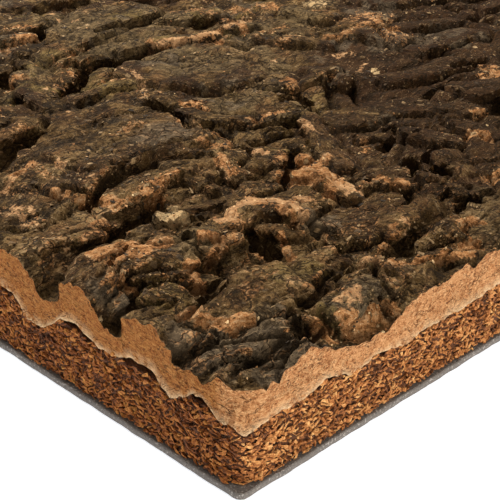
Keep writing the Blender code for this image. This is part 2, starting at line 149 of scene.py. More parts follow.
# Fissures: the places that each one runs through, its half width and its depth
FISSURES = (
    (((171, 85), (180, 101), (180, 111), (181, 128)), 3.6, 9),
    (((138, 31), (144, 41), (147, 52)), 3.6, 7),
    (((177, 58), (176, 68)), 2.6, 6),
    (((139, 94), (133, 95), (122, 91), (112, 88), (111, 94), (104, 95)), 2, 5),
    (((105, 80), (108, 71), (106, 57), (102, 44), (97, 35)), 1.2, 2.2),
    (((73, -1), (77, 7), (78, 21), (77, 31)), 3.5, 3),
    (((82, 31), (82, 38), (84, 47)), 3.4, 8),
    (((115, 28), (103, 28), (105, 32), (98, 36)), 0.8, 2.5),
    (((17, 38), (17, 43), (20, 48), (21, 54)), 0.9, 2.8),
    (((15, 65), (9, 60), (6, 60), (3, 61)), 0.8, 2.6),
    (((15, 33), (12, 37), (9, 39), (4, 40)), 0.9, 2.6),
    (((54, 23), (48, 22)), 0.6, 1.5),
    (((75, 42), (70, 43), (65, 48)), 1.3, 4),
    (((74, 54), (72, 59), (73, 65)), 0.7, 2),
    (((53, 54), (49, 55), (45, 55)), 2.8, 7),
    (((35, 20), (36, 26), (36, 31)), 1.5, 5),
    (((38, 20), (44, 34), (45, 44), (37, 59), (33, 69)), 4, 3),
    (((47, -1), (47, 2), (47, 7), (48, 11)), 2, 7),
    (((63, 14), (54, 11), (50, 11), (52, 15)), 0.9, 3),
    (((31, 9), (33, 20), (34, 29)), 1.2, 4),
    (((8, 0), (9, 9), (9, 16), (9, 26), (7, 35)), 1.3, 3.5),
    (((25, 0), (21, 8), (16, 15), (12, 22), (9, 30)), 1.1, 2.5),
    (((29, 11), (22, 13), (18, 12)), 0.6, 1.5),
    (((11, 31), (7, 32)), 2, 5),
    (((10, 38), (5, 38), (2, 38), (-2, 39)), 1.3, 4),
    (((10, 60), (5, 57), (-3, 54)), 0.8, 3.5),
    (((15, 37), (15, 41), (18, 48)), 1.1, 3.5),
    (((27, 66), (21, 72), (20, 82), (23, 98), (23, 103)), 2.4, 4),
    (((54, 77), (50, 82)), 1.6, 5),
    (((41, 70), (38, 73)), 2, 5),
    (((38, 105), (32, 102), (27, 107), (21, 117)), 1.5, 5),
    (((52, 124), (45, 119), (40, 123)), 2.4, 6),
    (((49, 129), (48, 136)), 2, 5),
    (((71, 138), (64, 133), (63, 125)), 2, 5),
    (((71, 89), (76, 97), (81, 103)), 2, 6),
    (((79, 82), (69, 86)), 1.2, 4),
    (((102, 106), (99, 115), (92, 117)), 1.2, 4),
    (((94, 98), (92, 105), (91, 112)), 1.2, 4),
    (((112, 130), (110, 134), (105, 134)), 1.8, 5),
    (((112, 153), (97, 138)), 1.5, 4),
    (((109, 162), (95, 147)), 0.9, 3),
    (((82, 170), (82, 178), (83, 188)), 1.4, 4),
    (((90, 194), (87, 207)), 1.3, 4),
    (((133, 246), (123, 249), (107, 246)), 1.5, 4),
    (((139, 207), (128, 198), (119, 193)), 1.2, 4),
    (((202, 123), (203, 137), (202, 154)), 1.4, 4),
    (((189, 162), (186, 180)), 1.6, 4),
    (((212, 103), (222, 112)), 1.6, 4),
    (((199, 78), (197, 83)), 2.4, 5),
    (((110, 90), (102, 91), (92, 93)), 1.6, 4),
)

# Where the saw met the bark's weathered face: place along the cut, and height there
FRONT_TOP = (
    (0, 31.0), (6, 29.0), (9, 31.5), (14, 27.0), (18, 29.7), (23, 28.3), (25, 33.0), (30, 35.2),
    (36, 36.0), (43, 33.0), (48, 27.2), (53, 31.0), (60, 35.8), (65, 34.7), (71, 28.0), (76, 24.8),
    (82, 31.0), (90, 33.6),
)
RIGHT_TOP = (
    (0, 31.0), (5, 27.6), (13, 29.1), (20, 31.4), (25, 33.5), (32, 29.9), (42, 26.3), (54, 25.2),
    (59, 28.7), (66, 30.4), (74, 32.0), (79, 30.4), (83, 33.4), (90, 32.5), (100, 31.2),
)
# Where it met the bark's inner face
FRONT_BED = (
    (0, 20.0), (2.7, 22.8), (4, 21.8), (6.8, 19.0), (10, 20.6), (13.6, 23.4), (17, 22.8), (20, 20.8),
    (25.5, 17.8), (29, 20.0), (32, 23.0), (40, 22.4), (46, 20.7), (53, 19.9), (57, 21.6), (62, 22.8),
    (69, 22.0), (73, 18.5), (78, 15.2), (85, 15.1), (87, 18.0), (90, 21.0), (98, 21.2),
)
RIGHT_BED = (
    (0, 20.0), (3.3, 18.0), (8.3, 18.5), (14.4, 19.5), (22.8, 19.0), (26, 20.0), (31, 20.9), (34, 20.3),
    (40, 18.0), (47, 18.5), (50, 19.8), (62, 17.4), (68, 18.9), (83, 18.6), (101, 19.4),
)

# Dark pockets under the bark at the cuts: which cut, place along it, half length, depth
POCKETS = (
    ("front", 62.5, 7.5, 2.2), ("front", 36.0, 9.0, 2.8), ("front", 14, 4.4, 2.4),
    ("front", 2.8, 1.8, 1.6), ("front", 92, 5.0, 1.8), ("front", 78, 3.0, 0.8),
    ("right", 28.5, 1.6, 1.6), ("right", 32.5, 1.5, 1.3), ("right", 53, 1.8, 1.6),
    ("right", 68.5, 1.6, 1.4),
)
POCKET_REACH = 3.5
POCKET_MOUTH = 1.6
POCKET_FULLNESS = 0.6

# Patches where the weathered skin shows another colour, the wide umber ones at the back being painted
# shade: strength, half width and places of each
PATCHES = {
    "ochre": (
        (0.9, 1.5, ((27, 14), (24, 15), (21, 18))),
        (1.0, 1.3, ((23, 20), (21, 21), (20, 23))),
        (1.0, 2.6, ((8, 36), (5, 36))),
        (1.0, 2.6, ((6, 44), (4, 44), (3, 45))),
        (0.9, 2.2, ((4, 46), (4, 51), (2, 58))),
        (0.7, 1.2, ((44, 21), (43, 25))),
        (1.0, 1.0, ((58, 10), (56, 12), (52, 13))),
        (1.0, 2.6, ((62, 15), (60, 20))),
        (0.9, 1.7, ((49, 29), (46, 28), (43, 27))),
        (1.0, 3.2, ((69, 17), (68, 22), (63, 31))),
        (1.0, 2.6, ((68, 19), (62, 24))),
        (0.7, 2.4, ((15, 73), (12, 77))),
        (1.0, 1.3, ((11, 79), (8, 83), (6, 86), (5, 91))),
        (1.0, 0.9, ((9, 86), (10, 94), (5, 91))),
        (1.0, 1.6, ((58, 42), (54, 44), (52, 42), (50, 38))),
        (0.9, 1.3, ((8, 96), (6, 97))),
        (1.0, 1.1, ((47, 61), (44, 60), (41, 58))),
        (0.9, 1.6, ((14, 99), (15, 104), (12, 104))),
        (1.0, 1.1, ((61, 53), (60, 55), (64, 65))),
        (1.0, 1.6, ((71, 44), (71, 47))),
        (0.6, 2.4, ((59, 66), (55, 68), (49, 68))),
        (0.5, 1.4, ((92, 38), (92, 44), (92, 49))),
        (0.8, 2.0, ((98, 34), (97, 37), (92, 38))),
        (0.8, 1.6, ((105, 30), (104, 31))),
        (0.9, 1.8, ((90, 50), (88, 51))),
        (0.8, 1.6, ((55, 89), (52, 89))),
        (0.5, 2.2, ((92, 53), (91, 58), (94, 65))),
        (0.9, 1.4, ((51, 103), (47, 106), (41, 108))),
        (0.9, 1.6, ((126, 28), (127, 32), (130, 38))),
        (1.0, 2.8, ((67, 90), (61, 92), (56, 94))),
        (1.0, 2.6, ((69, 90), (73, 99), (70, 103))),
        (0.8, 1.6, ((29, 130), (27, 136))),
        (0.45, 2.2, ((129, 38), (116, 34))),
        (0.9, 2.2, ((91, 79), (84, 77))),
        (0.9, 3.4, ((74, 98), (64, 95), (59, 95))),
        (0.6, 1.8, ((102, 82), (98, 84), (94, 86))),
        (0.8, 1.3, ((70, 122), (66, 120))),
        (0.55, 2.0, ((126, 67), (126, 74), (125, 77))),
        (0.8, 2.2, ((49, 150), (45, 152))),
        (0.9, 1.3, ((107, 110), (108, 118), (106, 122))),
        (0.8, 1.8, ((59, 165), (59, 170))),
        (0.8, 1.6, ((109, 116), (105, 124))),
        (0.9, 2.2, ((131, 102), (129, 106))),
        (0.9, 1.8, ((130, 104), (125, 105))),
        (0.7, 1.6, ((114, 135), (115, 141))),
        (0.6, 2.4, ((166, 95), (158, 97))),
        (0.7, 1.4, ((113, 150), (112, 156))),
        (0.8, 2.6, ((192, 76), (190, 78))),
        (0.8, 2.4, ((78, 196), (77, 202))),
        (0.5, 2.4, ((192, 95), (188, 97), (186, 101))),
        (0.9, 2.2, ((84, 204), (78, 200), (74, 199))),
        (0.7, 3.0, ((217, 92), (217, 99), (215, 103))),
        (0.55, 2.8, ((148, 165), (146, 174), (144, 184))),
        (0.6, 1.2, ((120, 196), (121, 208))),
        (0.9, 1.3, ((185, 132), (180, 134), (177, 140))),
        (0.8, 2.4, ((218, 99), (215, 103))),
        (0.9, 1.3, ((174, 146), (171, 152), (164, 152))),
        (0.8, 2.6, ((140, 183), (137, 188), (141, 202), (142, 212), (130, 207))),
        (0.7, 2.2, ((228, 101), (226, 108))),
        (0.9, 2.2, ((175, 158), (179, 169), (169, 168))),
        (0.7, 2.6, ((164, 173), (163, 183))),
        (0.62, 3.2, ((139, 203), (128, 200), (118, 198))),
        (0.62, 3.4, ((148, 205), (150, 214), (142, 217))),
        (0.6, 3, ((200, 163), (199, 170), (192, 171))),
        (0.6, 2.2, ((191, 191), (191, 199))),
        (0.7, 3.0, ((200, 192), (192, 200), (183, 201))),
    ),
    "pale": (
        (1.0, 2.2, ((73, 44), (71, 45), (71, 47))),
        (1.0, 1.6, ((82, 51), (71, 45))),
        (1.0, 1.0, ((109, 175), (108, 175))),
        (0.7, 2.6, ((176, 209), (171, 211))),
        (1.0, 1.6, ((175, 210), (172, 208))),
    ),
    "tan": (
        (0.9, 1.6, ((33, 12), (33, 15), (30, 15))),
        (0.9, 0.9, ((11, 45), (10, 47), (10, 51))),
        (1.0, 1.0, ((17, 63), (15, 67), (15, 72))),
        (1.0, 1.5, (
            (63, 54), (61, 56), (63, 62), (63, 67), (61, 68), (58, 71), (54, 72), (50, 71), (47, 70),
        )),
        (0.45, 3.5, ((110, 15), (106, 16), (100, 14))),
        (1.0, 1.0, ((48, 90), (50, 94), (49, 98))),
        (0.9, 1.2, ((58, 81), (57, 83))),
        (1.0, 1.4, ((50, 92), (51, 95), (48, 97))),
        (0.4, 1.0, ((104, 38), (104, 42))),
        (1.0, 1.2, ((123, 22), (124, 26), (124, 28))),
        (0.9, 1.0, ((123, 42), (118, 41))),
        (0.9, 1.6, ((90, 93), (85, 93))),
        (0.8, 1.3, ((93, 118), (84, 115))),
        (0.7, 1.6, ((168, 109), (159, 106), (144, 96))),
        (0.7, 1.2, ((111, 167), (116, 176))),
        (0.8, 1.6, ((127, 173), (125, 179))),
        (1.0, 1.3, ((183, 131), (175, 144), (170, 159))),
        (0.7, 1.8, ((176, 155), (180, 165))),
        (0.8, 2.8, ((185, 173), (174, 167), (187, 186))),
    ),
    "moss": (
        (1.0, 2.2, ((10, 40), (7, 41), (6, 43))),
        (0.6, 6, ((45, 15), (39, 16))),
        (0.8, 2.6, ((27, 41), (27, 46), (25, 51))),
        (0.8, 1.8, ((87, 98), (82, 99))),
        (0.8, 1.8, ((76, 128), (77, 136))),
        (0.5, 5, ((75, 146), (70, 156), (64, 162))),
        (0.5, 6, ((96, 135), (83, 130), (78, 136))),
    ),
    "grey": (
        (0.9, 5, ((8, 44), (7, 49), (7, 55))),
        (0.9, 5, ((57, 34), (59, 41))),
        (0.6, 7, ((20, 119), (6, 103))),
        (0.4, 8, ((119, 56), (105, 49))),
        (0.7, 5, ((192, 85), (197, 92))),
        (0.8, 9, ((171, 121), (157, 123), (151, 135))),
        (0.8, 9, ((230, 126), (213, 123), (209, 129))),
    ),
    "char": (
        (0.9, 5, ((6, 16), (1, 25))),
        (0.9, 7, ((22, 8), (14, 14), (12, 26))),
        (0.5, 4, ((9, 46), (7, 58))),
        (0.8, 4, ((55, 7), (50, 8))),
        (0.8, 4, ((45, 72), (42, 76))),
        (0.7, 6, ((116, 74), (112, 81))),
        (0.6, 6, ((122, 192), (116, 207), (114, 222))),
    ),
    "umber": (
        (0.58, 4, ((65, -6), (72, 11), (86, 33))),
        (0.43, 4, ((37, 24), (29, 32))),
        (0.43, 3, ((59, 64), (54, 63))),
        (0.5, 8, ((41, 83), (35, 98), (30, 115))),
        (0.36, 5, ((75, 60), (80, 73), (80, 78))),
        (0.5, 5, ((107, 32), (107, 54), (104, 71))),
        # From here on the wide umber patches darken the far back of the tile: painted shade where the light
        # falls off
        (0.6, 10, ((60, 109), (41, 115), (32, 133))),
        (0.9, 10, ((56, 138), (47, 162))),
        (0.36, 5, ((59, 136), (50, 136))),
        (0.8, 10, ((69, 139), (60, 153), (61, 177))),
        (0.7, 11, ((84, 125), (58, 127), (43, 142))),
        (0.36, 6, ((97, 158), (90, 170), (85, 180))),
        (0.9, 14, ((97, 158), (86, 170), (90, 204))),
        (1.0, 12, ((92, 167), (84, 189), (86, 209))),
        (1.0, 16, ((95, 168), (78, 176), (65, 187))),
        (0.8, 10, ((125, 172), (97, 173), (71, 184))),
        (1.0, 14, ((117, 194), (96, 194), (102, 221))),
        (1.0, 16, ((117, 194), (102, 207), (92, 223))),
        (1.0, 18, ((124, 223), (103, 197), (77, 169))),
        (1.0, 14, ((140, 224), (120, 224), (117, 252))),
        (1.0, 16, ((148, 225), (136, 244), (118, 258))),
    ),
}
# How far a patch reaches: whole to the first share of its half width, gone by the second
PATCH_EDGE = (0.7, 1.6)
# How far its outline wanders, broadly to finely
PATCH_WANDER = (0.8, 1.3, 0.7)

# Patches that grow by rule: finish, size, seed, and how high its noise has to come
GROWN_PATCHES = (
    ("ochre", 7.0, 61, 0.8), ("tan", 5.0, 62, 0.92), ("grey", 17.0, 63, 0.35),
    ("moss", 13.0, 64, 0.5), ("umber", 12.0, 65, 0.4), ("char", 11.0, 66, 0.5),
)
GROWN_FROM = (150.0, 260.0)
GROWN_LEAST = 0.3
GROWN_EDGE = 0.3
GROWN_STRENGTH = 0.8
GROWN_STRETCH = 1.8
GROWN_DETAIL = 0.45
GROWN_DETAIL_FINER = 2.7
GROWN_DETAIL_SEED = 10

# The rest of the bark's ridges grow by rule, in rows along the grain
ROW_STEP = 24.0
RIDGE_STEP = 44.0
RIDGE_JITTER = 8.0
RIDGE_HALF_WIDTH = (7.0, 17.0)
RIDGE_REACH = (10.0, 30.0)
RIDGE_LEAN = (-28.0, 18.0)
RIDGE_TOP = (31.0, 37.5)
RIDGE_TILT = 1.5
ROOM_LEFT = 1.0
ROOM_SHARE = 0.5
GROWTH_SEED = 41

# So do the rest of its fissures, wherever no listed ridge lies
FISSURE_COUNT = 60
FISSURE_RUN = (14.0, 34.0)
FISSURE_JOINTS = 4
FISSURE_DRIFT = 4.0
FISSURE_HALF_WIDTH = (1.4, 3.4)
FISSURE_FULL_DEPTH = (2.0, 6.5)
FISSURE_SEED = 88

# How ridges fall away, meet and part
VALLEY_FLOOR = 28.5
NEAR_SHARE = 0.45
UNDER_FLOOR = 22.0
RIM_SLOPES = (2.1, 0.75)
RIM_INSET = 0.3
END_SQUARENESS = 4.0
FILL_DROP = 1.3
FILL_REACH = 1.5
FILL_BASE = 0.05
SHOULDER = 0.3
CROWN = 0.4
CROWN_REACH = 1.6
SHINGLE_TILT = 1.3
SHINGLE_REACH = (-1.0, 1.8)
BLEND = 0.25
CREASE_DEPTH = 1.6
CREASE_WIDTH = 0.55
FISSURE_SHARPNESS = 2.6
NARROW_FISSURE = 1.1
EDGE_REACH = 5.0
PROFILE_FADE = 12.0
FAR_AWAY = 99.0
FARTHEST_STEPS = 30.0
RIDGE_SPACING = 37.0
TOP_LIMIT = 40.0
TOP_SHARPNESS = 1.5

# How the bark changes towards the back, and where that starts and is whole
BACK_REACH = (110.0, 260.0)
BACK_RISE = 4.5
BACK_GENTLER = 0.5
BACK_PLAINER = 0.3
BACK_CALMER = 0.5

# How far outlines and fissures wander, broadly to finely, with the sizes and seeds of that
RIDGE_WANDER = (1.8, 0.8, 0.35)
WANDER_SIZES = (15.0, 6.0, 2.6)
WANDER_SEEDS = ((1, 2, 21), (3, 4, 23))

# Noises: height, size and seed of each, and how far it is drawn out along the grain
NOISE_CELLS = 97
FLOOR_SWELL = ((1.1, 9.0, 5),)
FACE_SWELL = ((0.8, 38.0, 6), (0.45, 5.5, 31, 3.4))
FINE_GRAIN = ((0.18, 2.6, 32, 1.8), (0.18, 1.3, 33, 1.5))
BED_MEAN = 19.0
BED_SWELL = ((1.8, 13.0, 7), (0.6, 6.0, 8))
BED_RAGGED = ((0.5, 2.2, 9), (0.3, 1.0, 10))
TOP_RAGGED = ((0.7, 3.2, 91), (0.4, 1.3, 92))
CUT_ROUGH = ((0.16, 2.3, 71), (0.1, 1.0, 72))
BOARD_ROUGH = ((0.45, 1.7, 81),)
BOARD_CROSS_ROUGH = ((0.3, 3.2, 82),)
SHEET_ROUGH = ((0.16, 4.0, 91), (0.08, 1.6, 92))

# Wrinkles in the skin: depth, width, and the size, seed and stretch of the noise they follow
WRINKLE_DEPTH = 0.9
WRINKLE_WIDTH = 0.3
WRINKLES = (4.2, 34, 1.6)

# Blocks that the ridges break into: size, stretch along the grain, how far they pull together, seed
BLOCKS = ((7.0, 2.4, 0.28, 54), (2.8, 1.8, 0.25, 55))

# Broken chunks of the skin: size, stretch, lift, tilt, crack depth, crack width, tone, seed
CHUNKS = (
    (17.0, 2.4, 0.45, 0.03, 2.2, 0.55, 0.2, 51),
    (6.5, 2.0, 0.3, 0.05, 1.0, 0.35, 0.45, 52),
    (2.6, 1.5, 0.1, 0.07, 0.35, 0.25, 0.3, 53),
)
CHUNK_CELLS = 64
CHUNK_MIDDLES = (0.08, 0.92)
CHUNK_BLEND = 0.3
CHUNK_WANDER = (1.2, 1.3, 0.8)
CRACK_OPEN = 0.25
CRACK_SWING = 1.3
CRACK_SPREAD = 1.3
CRACK_SEED = 7

# Growth layers that show as steps where the bark breaks away
LAYER_STEP = 1.3
LAYER_TREAD = 0.35
LAYER_RISER = 0.3
LAYER_WANDER = ((1.1, 9.0, 41), (0.5, 3.1, 42))
LAYER_SHARE = 0.2
LAYER_MIDDLE = 0.6
LAYER_SWING = ((0.8, 16.0, 43),)

# Overhang of the broken rims: how strong, how far, on which slopes, and the blurs that it reads
LIP_PULL = 0.9
LIP_REACH = 2.2
LIP_MOST = 1.8
LIP_SLOPES = (0.35, 0.95)
LIP_SLOPE_BLUR = 1.6
LIP_LEVEL_BLUR = 4.0
LIP_CLEAR = 5.0

# The survey of the relief: step of its grid, and how many steps it runs past the tile
SURVEY_STEP = 1.0
SURVEY_MARGIN = 12

# The bark's own grid, the rows down its cuts, its near corner and the coarse grid underneath
CELL_GRADES = (0.55, 1.5)
CUT_ROWS = (0.0, 0.05, 0.15, 0.32, 0.52, 0.74, 0.92, 1.0)
CUT_SET_BACK = 0.12
CUT_FOOT = 0.05
CUT_CORNER = (9.0, 1.15)
BED_CORNER = 2.5
INNER_CELLS = 20
INNER_INSET = 14.0

# What the finish reads of the relief: the blur that it is held against, where it starts and is whole
RIM_BLUR = 1.1
RIM_GAIN = 0.9
BROW = (2.0, 0.15, 0.9)
BROW_SLOPE = (2.2, 0.1, 0.5)
BROW_TURN = 0.5
# The hollows are painted darker: shade in the recesses, and the dirt that gathers there
HOLLOW = (3.5, 0.5, 3.0)
# The valleys are painted darker too, as painted shade
VALLEY = (8.0, 1.0, 5.5)
# Painted highlight along the bark's lower cut edge: where it starts and is whole, down the cut
LOWER_EDGE_HIGHLIGHT = (0.86, 1.0)
# Painted shade on the front cut face: how far back from the front it reaches, and how far in from the right
# side it starts and is whole
FRONT_WIDTH = 2.0
FRONT_START = (4.0, 9.0)

# How the finish draws the skin's fibres out, along the grain and downwards
FIBRE_STRETCH = (0.28, 0.3)
# Frayed plates: none where in and back add up to the first or more, and whole within the second
FRAYED_REACH = (240.0, 120.0)
# The board's right side, left lighter than the painted shade on its other sides: how far in from it that
# look starts and is whole
RIGHT_SIDE_REACH = (4.0, 2.0)

# Where loose bits lie: the noise of their clumps, and the shares of each in clumps and on broken cork
CLUMPS = ((1.0, 9.0, 111), (0.5, 3.0, 112))
CLUMP_EDGE = (-0.1, 0.7)
FLAKES_IN_CLUMPS = 0.8
CRUMBS_ELSEWHERE = 0.15
PALE_IN_CLUMPS = 0.05
PALE_ON_BROKEN = 0.6

# The board: steps round it and rows down it, for its body and for the bed that granules are set on
BOARD_STEP = 1.2
BOARD_ROWS = 12
GRANULE_BED_STEP = 1.0
GRANULE_BED_ROWS = 6
GRANULE_BED_IN = 0.4
GRANULE_BED_TOP = 0.1
GRANULE_BED_FOOT = 0.5

# The backing sheet's edge from its top down: how far it is drawn in, and its height
SHEET_STEP = 1.5
SHEET_SET_BACK = 0.2
SHEET_EDGE = (
    (2.2, SHEET_TOP), (0.35, SHEET_TOP), (0.08, SHEET_TOP - 0.25), (0.0, 1.1), (0.1, 0.25), (0.4, 0.0),
)

# Loose chips: how many forms of each, their shape and their seed
CHIPS = {
    "flakes": (6, (1.0, 0.7, 0.22), 101),
    "crumbs": (6, (1.0, 0.8, 0.65), 102),
    "granules": (8, (1.0, 0.5, 0.4), 103),
}
CHIP_CORNERS = 10
CHIP_REACH = (0.75, 1.0)

# Loose bits on the bark: piece, its chips, where they lie, least and greatest size, sink, lean and seed
LOOSE_BITS = (
    ("skin_flakes", "flakes", "flake_share", 1.2, 4.2, 0.5, 0.35, 7),
    ("bark_crumbs", "crumbs", "crumb_share", 0.5, 1.5, 0.35, 0.8, 17),
    ("pale_crumbs", "crumbs", "pale_share", 0.5, 1.7, 0.35, 0.6, 27),
)
LOOSE_CROWDING = 3.0
LOOSE_SPIN = 3.1
GRANULE_CROWDING = 4.0
GRANULE_SPIN = 0.75
GRANULE_LEAN = 0.22
GRANULE_SINK = 0.35
GRANULE_SEED = 37

# The scatter: its name, the steps of the seed for each draw, and the last number it picks a chip by
SCATTER = "Cork scatter"
SIZE_DRAW, TURN_DRAW, SINK_DRAW = 11, 23, 37
LAST_PICK = 63

# Stage: floor, world, lights (name, place, aim, size, power, colour) and camera
FLOOR_SIZE = 8.0
FLOOR_DROP = 0.0002
FLOOR_COLOUR = (0.9, 0.93, 0.97)
FLOOR_GLOW = 0.75
WORLD_COLOUR = (1.0, 0.965, 0.91)
WORLD_STRENGTH = 0.48
LIGHTS = (
    ("overhead", (-0.68, 0.12, 0.86), (0.0, 0.0, 0.0), 0.6, 30.0, (1.0, 0.95, 0.87)),
    ("from_the_right", (1.3, 0.1, 0.22), (0.1, -0.1, 0.0), 0.5, 10.6, (1.0, 0.94, 0.85)),
)
CAMERA_PLACE = (0.33980, -0.33405, 0.21215)
CAMERA_AZIMUTH = 45.368
CAMERA_ELEVATION = 28.367
CAMERA_LENS = 100.0
CAMERA_SIGHT = (0.01, 20.0)


def noise(u, v, size, seed, stretch=1.0):
    """Smooth noise between -1 and 1, with bumps about size millimetres across."""
    cells = NOISE_CELLS
    values = np.random.default_rng(seed).uniform(-1.0, 1.0, (cells, cells))
    across, along = np.asarray(u) / size, np.asarray(v) / stretch / size
    i, j = np.floor(across).astype(int), np.floor(along).astype(int)
    s, t = across - i, along - j
    s, t = s * s * (3.0 - 2.0 * s), t * t * (3.0 - 2.0 * t)
    i, j, next_i, next_j = i % cells, j % cells, (i + 1) % cells, (j + 1) % cells
    low = values[i, j] * (1.0 - s) + values[next_i, j] * s
    high = values[i, next_j] * (1.0 - s) + values[next_i, next_j] * s
    return low * (1.0 - t) + high * t


def roughened(u, v, noises, level=0.0):
    """A level with noises added to it, each from its height, size and seed."""
    return sum((deep * noise(u, v, *how) for deep, *how in noises), level)


def smooth_step(values, low, high):
    """0 below low, 1 above high and smooth between."""
    share = np.clip((values - low) / (high - low), 0.0, 1.0)
    return share * share * (3.0 - 2.0 * share)


def farther_back(u, v):
    """0 round the near corner and 1 at the back."""
    return smooth_step(u + v, *BACK_REACH)


def from_segment(u, v, start, end):
    """Distance from a straight run with square ends, the share of it passed, and how far behind it."""
    run_in, run_back = end[0] - start[0], end[1] - start[1]
    length = math.hypot(run_in, run_back)
    along = ((u - start[0]) * run_in + (v - start[1]) * run_back) / length
    behind = ((u - start[0]) * run_back - (v - start[1]) * run_in) / length
    share = np.clip(along / length, 0.0, 1.0)
    past = np.abs(along - share * length)
    away = (past ** END_SQUARENESS + np.abs(behind) ** END_SQUARENESS) ** (1.0 / END_SQUARENESS)
    return away, share, behind


def away_from_line(u, v, places):
    """Distance from a line of places."""
    runs = zip(places[:-1], places[1:])
    return np.minimum.reduce([from_segment(u, v, start, end)[0] for start, end in runs])


def has_room(place, reach=0.0):
    """Whether a place is clear of every listed ridge."""
    return all(
        away_from_line(*place[:2], places) >= half_width * ROOM_LEFT + reach
        for half_width, places in RIDGES
    )


def grown_ridges():
    """The listed ridges, and seeded ones in rows wherever those leave room."""
    rng = np.random.default_rng(GROWTH_SEED)
    ridges = list(RIDGES)
    for row in range(int(SIDE / ROW_STEP) + 2):
        for column in range(int(SIDE / RIDGE_STEP) + 2):
            shift = rng.uniform(-RIDGE_JITTER, RIDGE_JITTER, 2)
            middle_in = row * ROW_STEP + shift[0]
            middle_back = (column + 0.5 * (row % 2)) * RIDGE_STEP + shift[1]
            half_width, reach = rng.uniform(*RIDGE_HALF_WIDTH), rng.uniform(*RIDGE_REACH)
            lean, top = math.radians(rng.uniform(*RIDGE_LEAN)), rng.uniform(*RIDGE_TOP)
            tilt = rng.uniform(-RIDGE_TILT, RIDGE_TILT)
            run_in, run_back = reach * math.sin(lean), reach * math.cos(lean)
            middle = (middle_in, middle_back)
            start = (middle_in - run_in, middle_back - run_back, top - tilt)
            end = (middle_in + run_in, middle_back + run_back, top + tilt)
            if all(has_room(place, ROOM_SHARE * half_width) for place in (start, middle, end)):
                ridges.append((half_width, (start, end)))
    return ridges


def ridge_level(u, v, steep, half_width, places):
    """Height of one ridge of bark, as if it stood alone: a scarp on one side, a long slope on the other."""
    level = np.full_like(u, UNDER_FLOOR)
    nearest = np.full_like(u, FAR_AWAY)
    crest = np.full_like(u, places[0][2])
    for start, end in zip(places[:-1], places[1:]):
        away, share, off = from_segment(u, v, start, end)
        top = start[2] + (end[2] - start[2]) * share
        steps_out = np.clip((RIM_INSET - half_width + away) / SHOULDER, -FARTHEST_STEPS, FARTHEST_STEPS)
        side = off / half_width
        behind = 0.5 + 0.5 * np.clip(side, -1.0, 1.0)
        slope = RIM_SLOPES[0] + (RIM_SLOPES[1] - RIM_SLOPES[0]) * behind
        fall = steep * slope * SHOULDER * np.log1p(np.exp(steps_out))
        crown = CROWN * np.minimum(away / half_width, CROWN_REACH) ** 2
        level = np.maximum(level, top - crown - fall - SHINGLE_TILT * np.clip(side, *SHINGLE_REACH))
        crest = np.where(away < nearest, top, crest)
        nearest = np.minimum(nearest, away)
    return level, nearest, crest


def grown_fissures():
    """The listed fissures, and seeded ones that wander along the grain elsewhere."""
    rng = np.random.default_rng(FISSURE_SEED)
    fissures = list(FISSURES)
    for _ in range(FISSURE_COUNT):
        start_in, start_back = rng.uniform(0.0, SIDE, 2)
        run = rng.uniform(*FISSURE_RUN)
        drift = rng.uniform(-FISSURE_DRIFT, FISSURE_DRIFT, FISSURE_JOINTS)
        half_width = rng.uniform(*FISSURE_HALF_WIDTH)
        full_depth = rng.uniform(*FISSURE_FULL_DEPTH)
        steps = np.linspace(0.0, run, FISSURE_JOINTS)
        places = [(start_in + off, start_back + step) for off, step in zip(drift, steps)]
        if all(has_room(place) for place in places):
            fissures.append((places, half_width, full_depth))
    return fissures


def fissure_depth(u, v):
    """Depth of the long fissures below the ridges round them, and how dark the narrow ones are painted, as
    dirt and shade.
    """
    depth, dark = np.zeros_like(u), np.zeros_like(u)
    for places, half_width, full_depth in grown_fissures():
        away = away_from_line(u, v, places)
        share = np.exp(-((away / half_width) ** FISSURE_SHARPNESS))
        depth = np.maximum(depth, full_depth * share)
        dark = np.maximum(dark, share * min(1.0, NARROW_FISSURE / half_width))
    return depth, dark


def cut_profile(places, profile):
    """Height along a cut edge where it is known, and how much that place counts."""
    stations, heights = zip(*profile)
    known = np.clip((stations[-1] - places) / PROFILE_FADE + 0.5, 0.0, 1.0)
    return np.interp(places, stations, heights), known


def follow_cuts(u, v, height, front, right, ragged):
    """Surface heights, drawn to the profiles of the two near cut faces close to them."""
    for profile, away, along in ((front, v, u), (right, u, v)):
        wanted, known = cut_profile(along, profile)
        share = known * np.exp(-((np.clip(away - INSET, 0.0, None) / EDGE_REACH) ** 2))
        wanted = wanted + roughened(along, along * 0.0, ragged)
        height = height * (1.0 - share) + wanted * share
    return height


def wander(u, v, reaches):
    """Places moved about smoothly, so that outlines and fissures run crookedly."""
    moves = [roughened(u, v, zip(reaches, WANDER_SIZES, seeds)) for seeds in WANDER_SEEDS]
    return u + moves[0], v + moves[1]


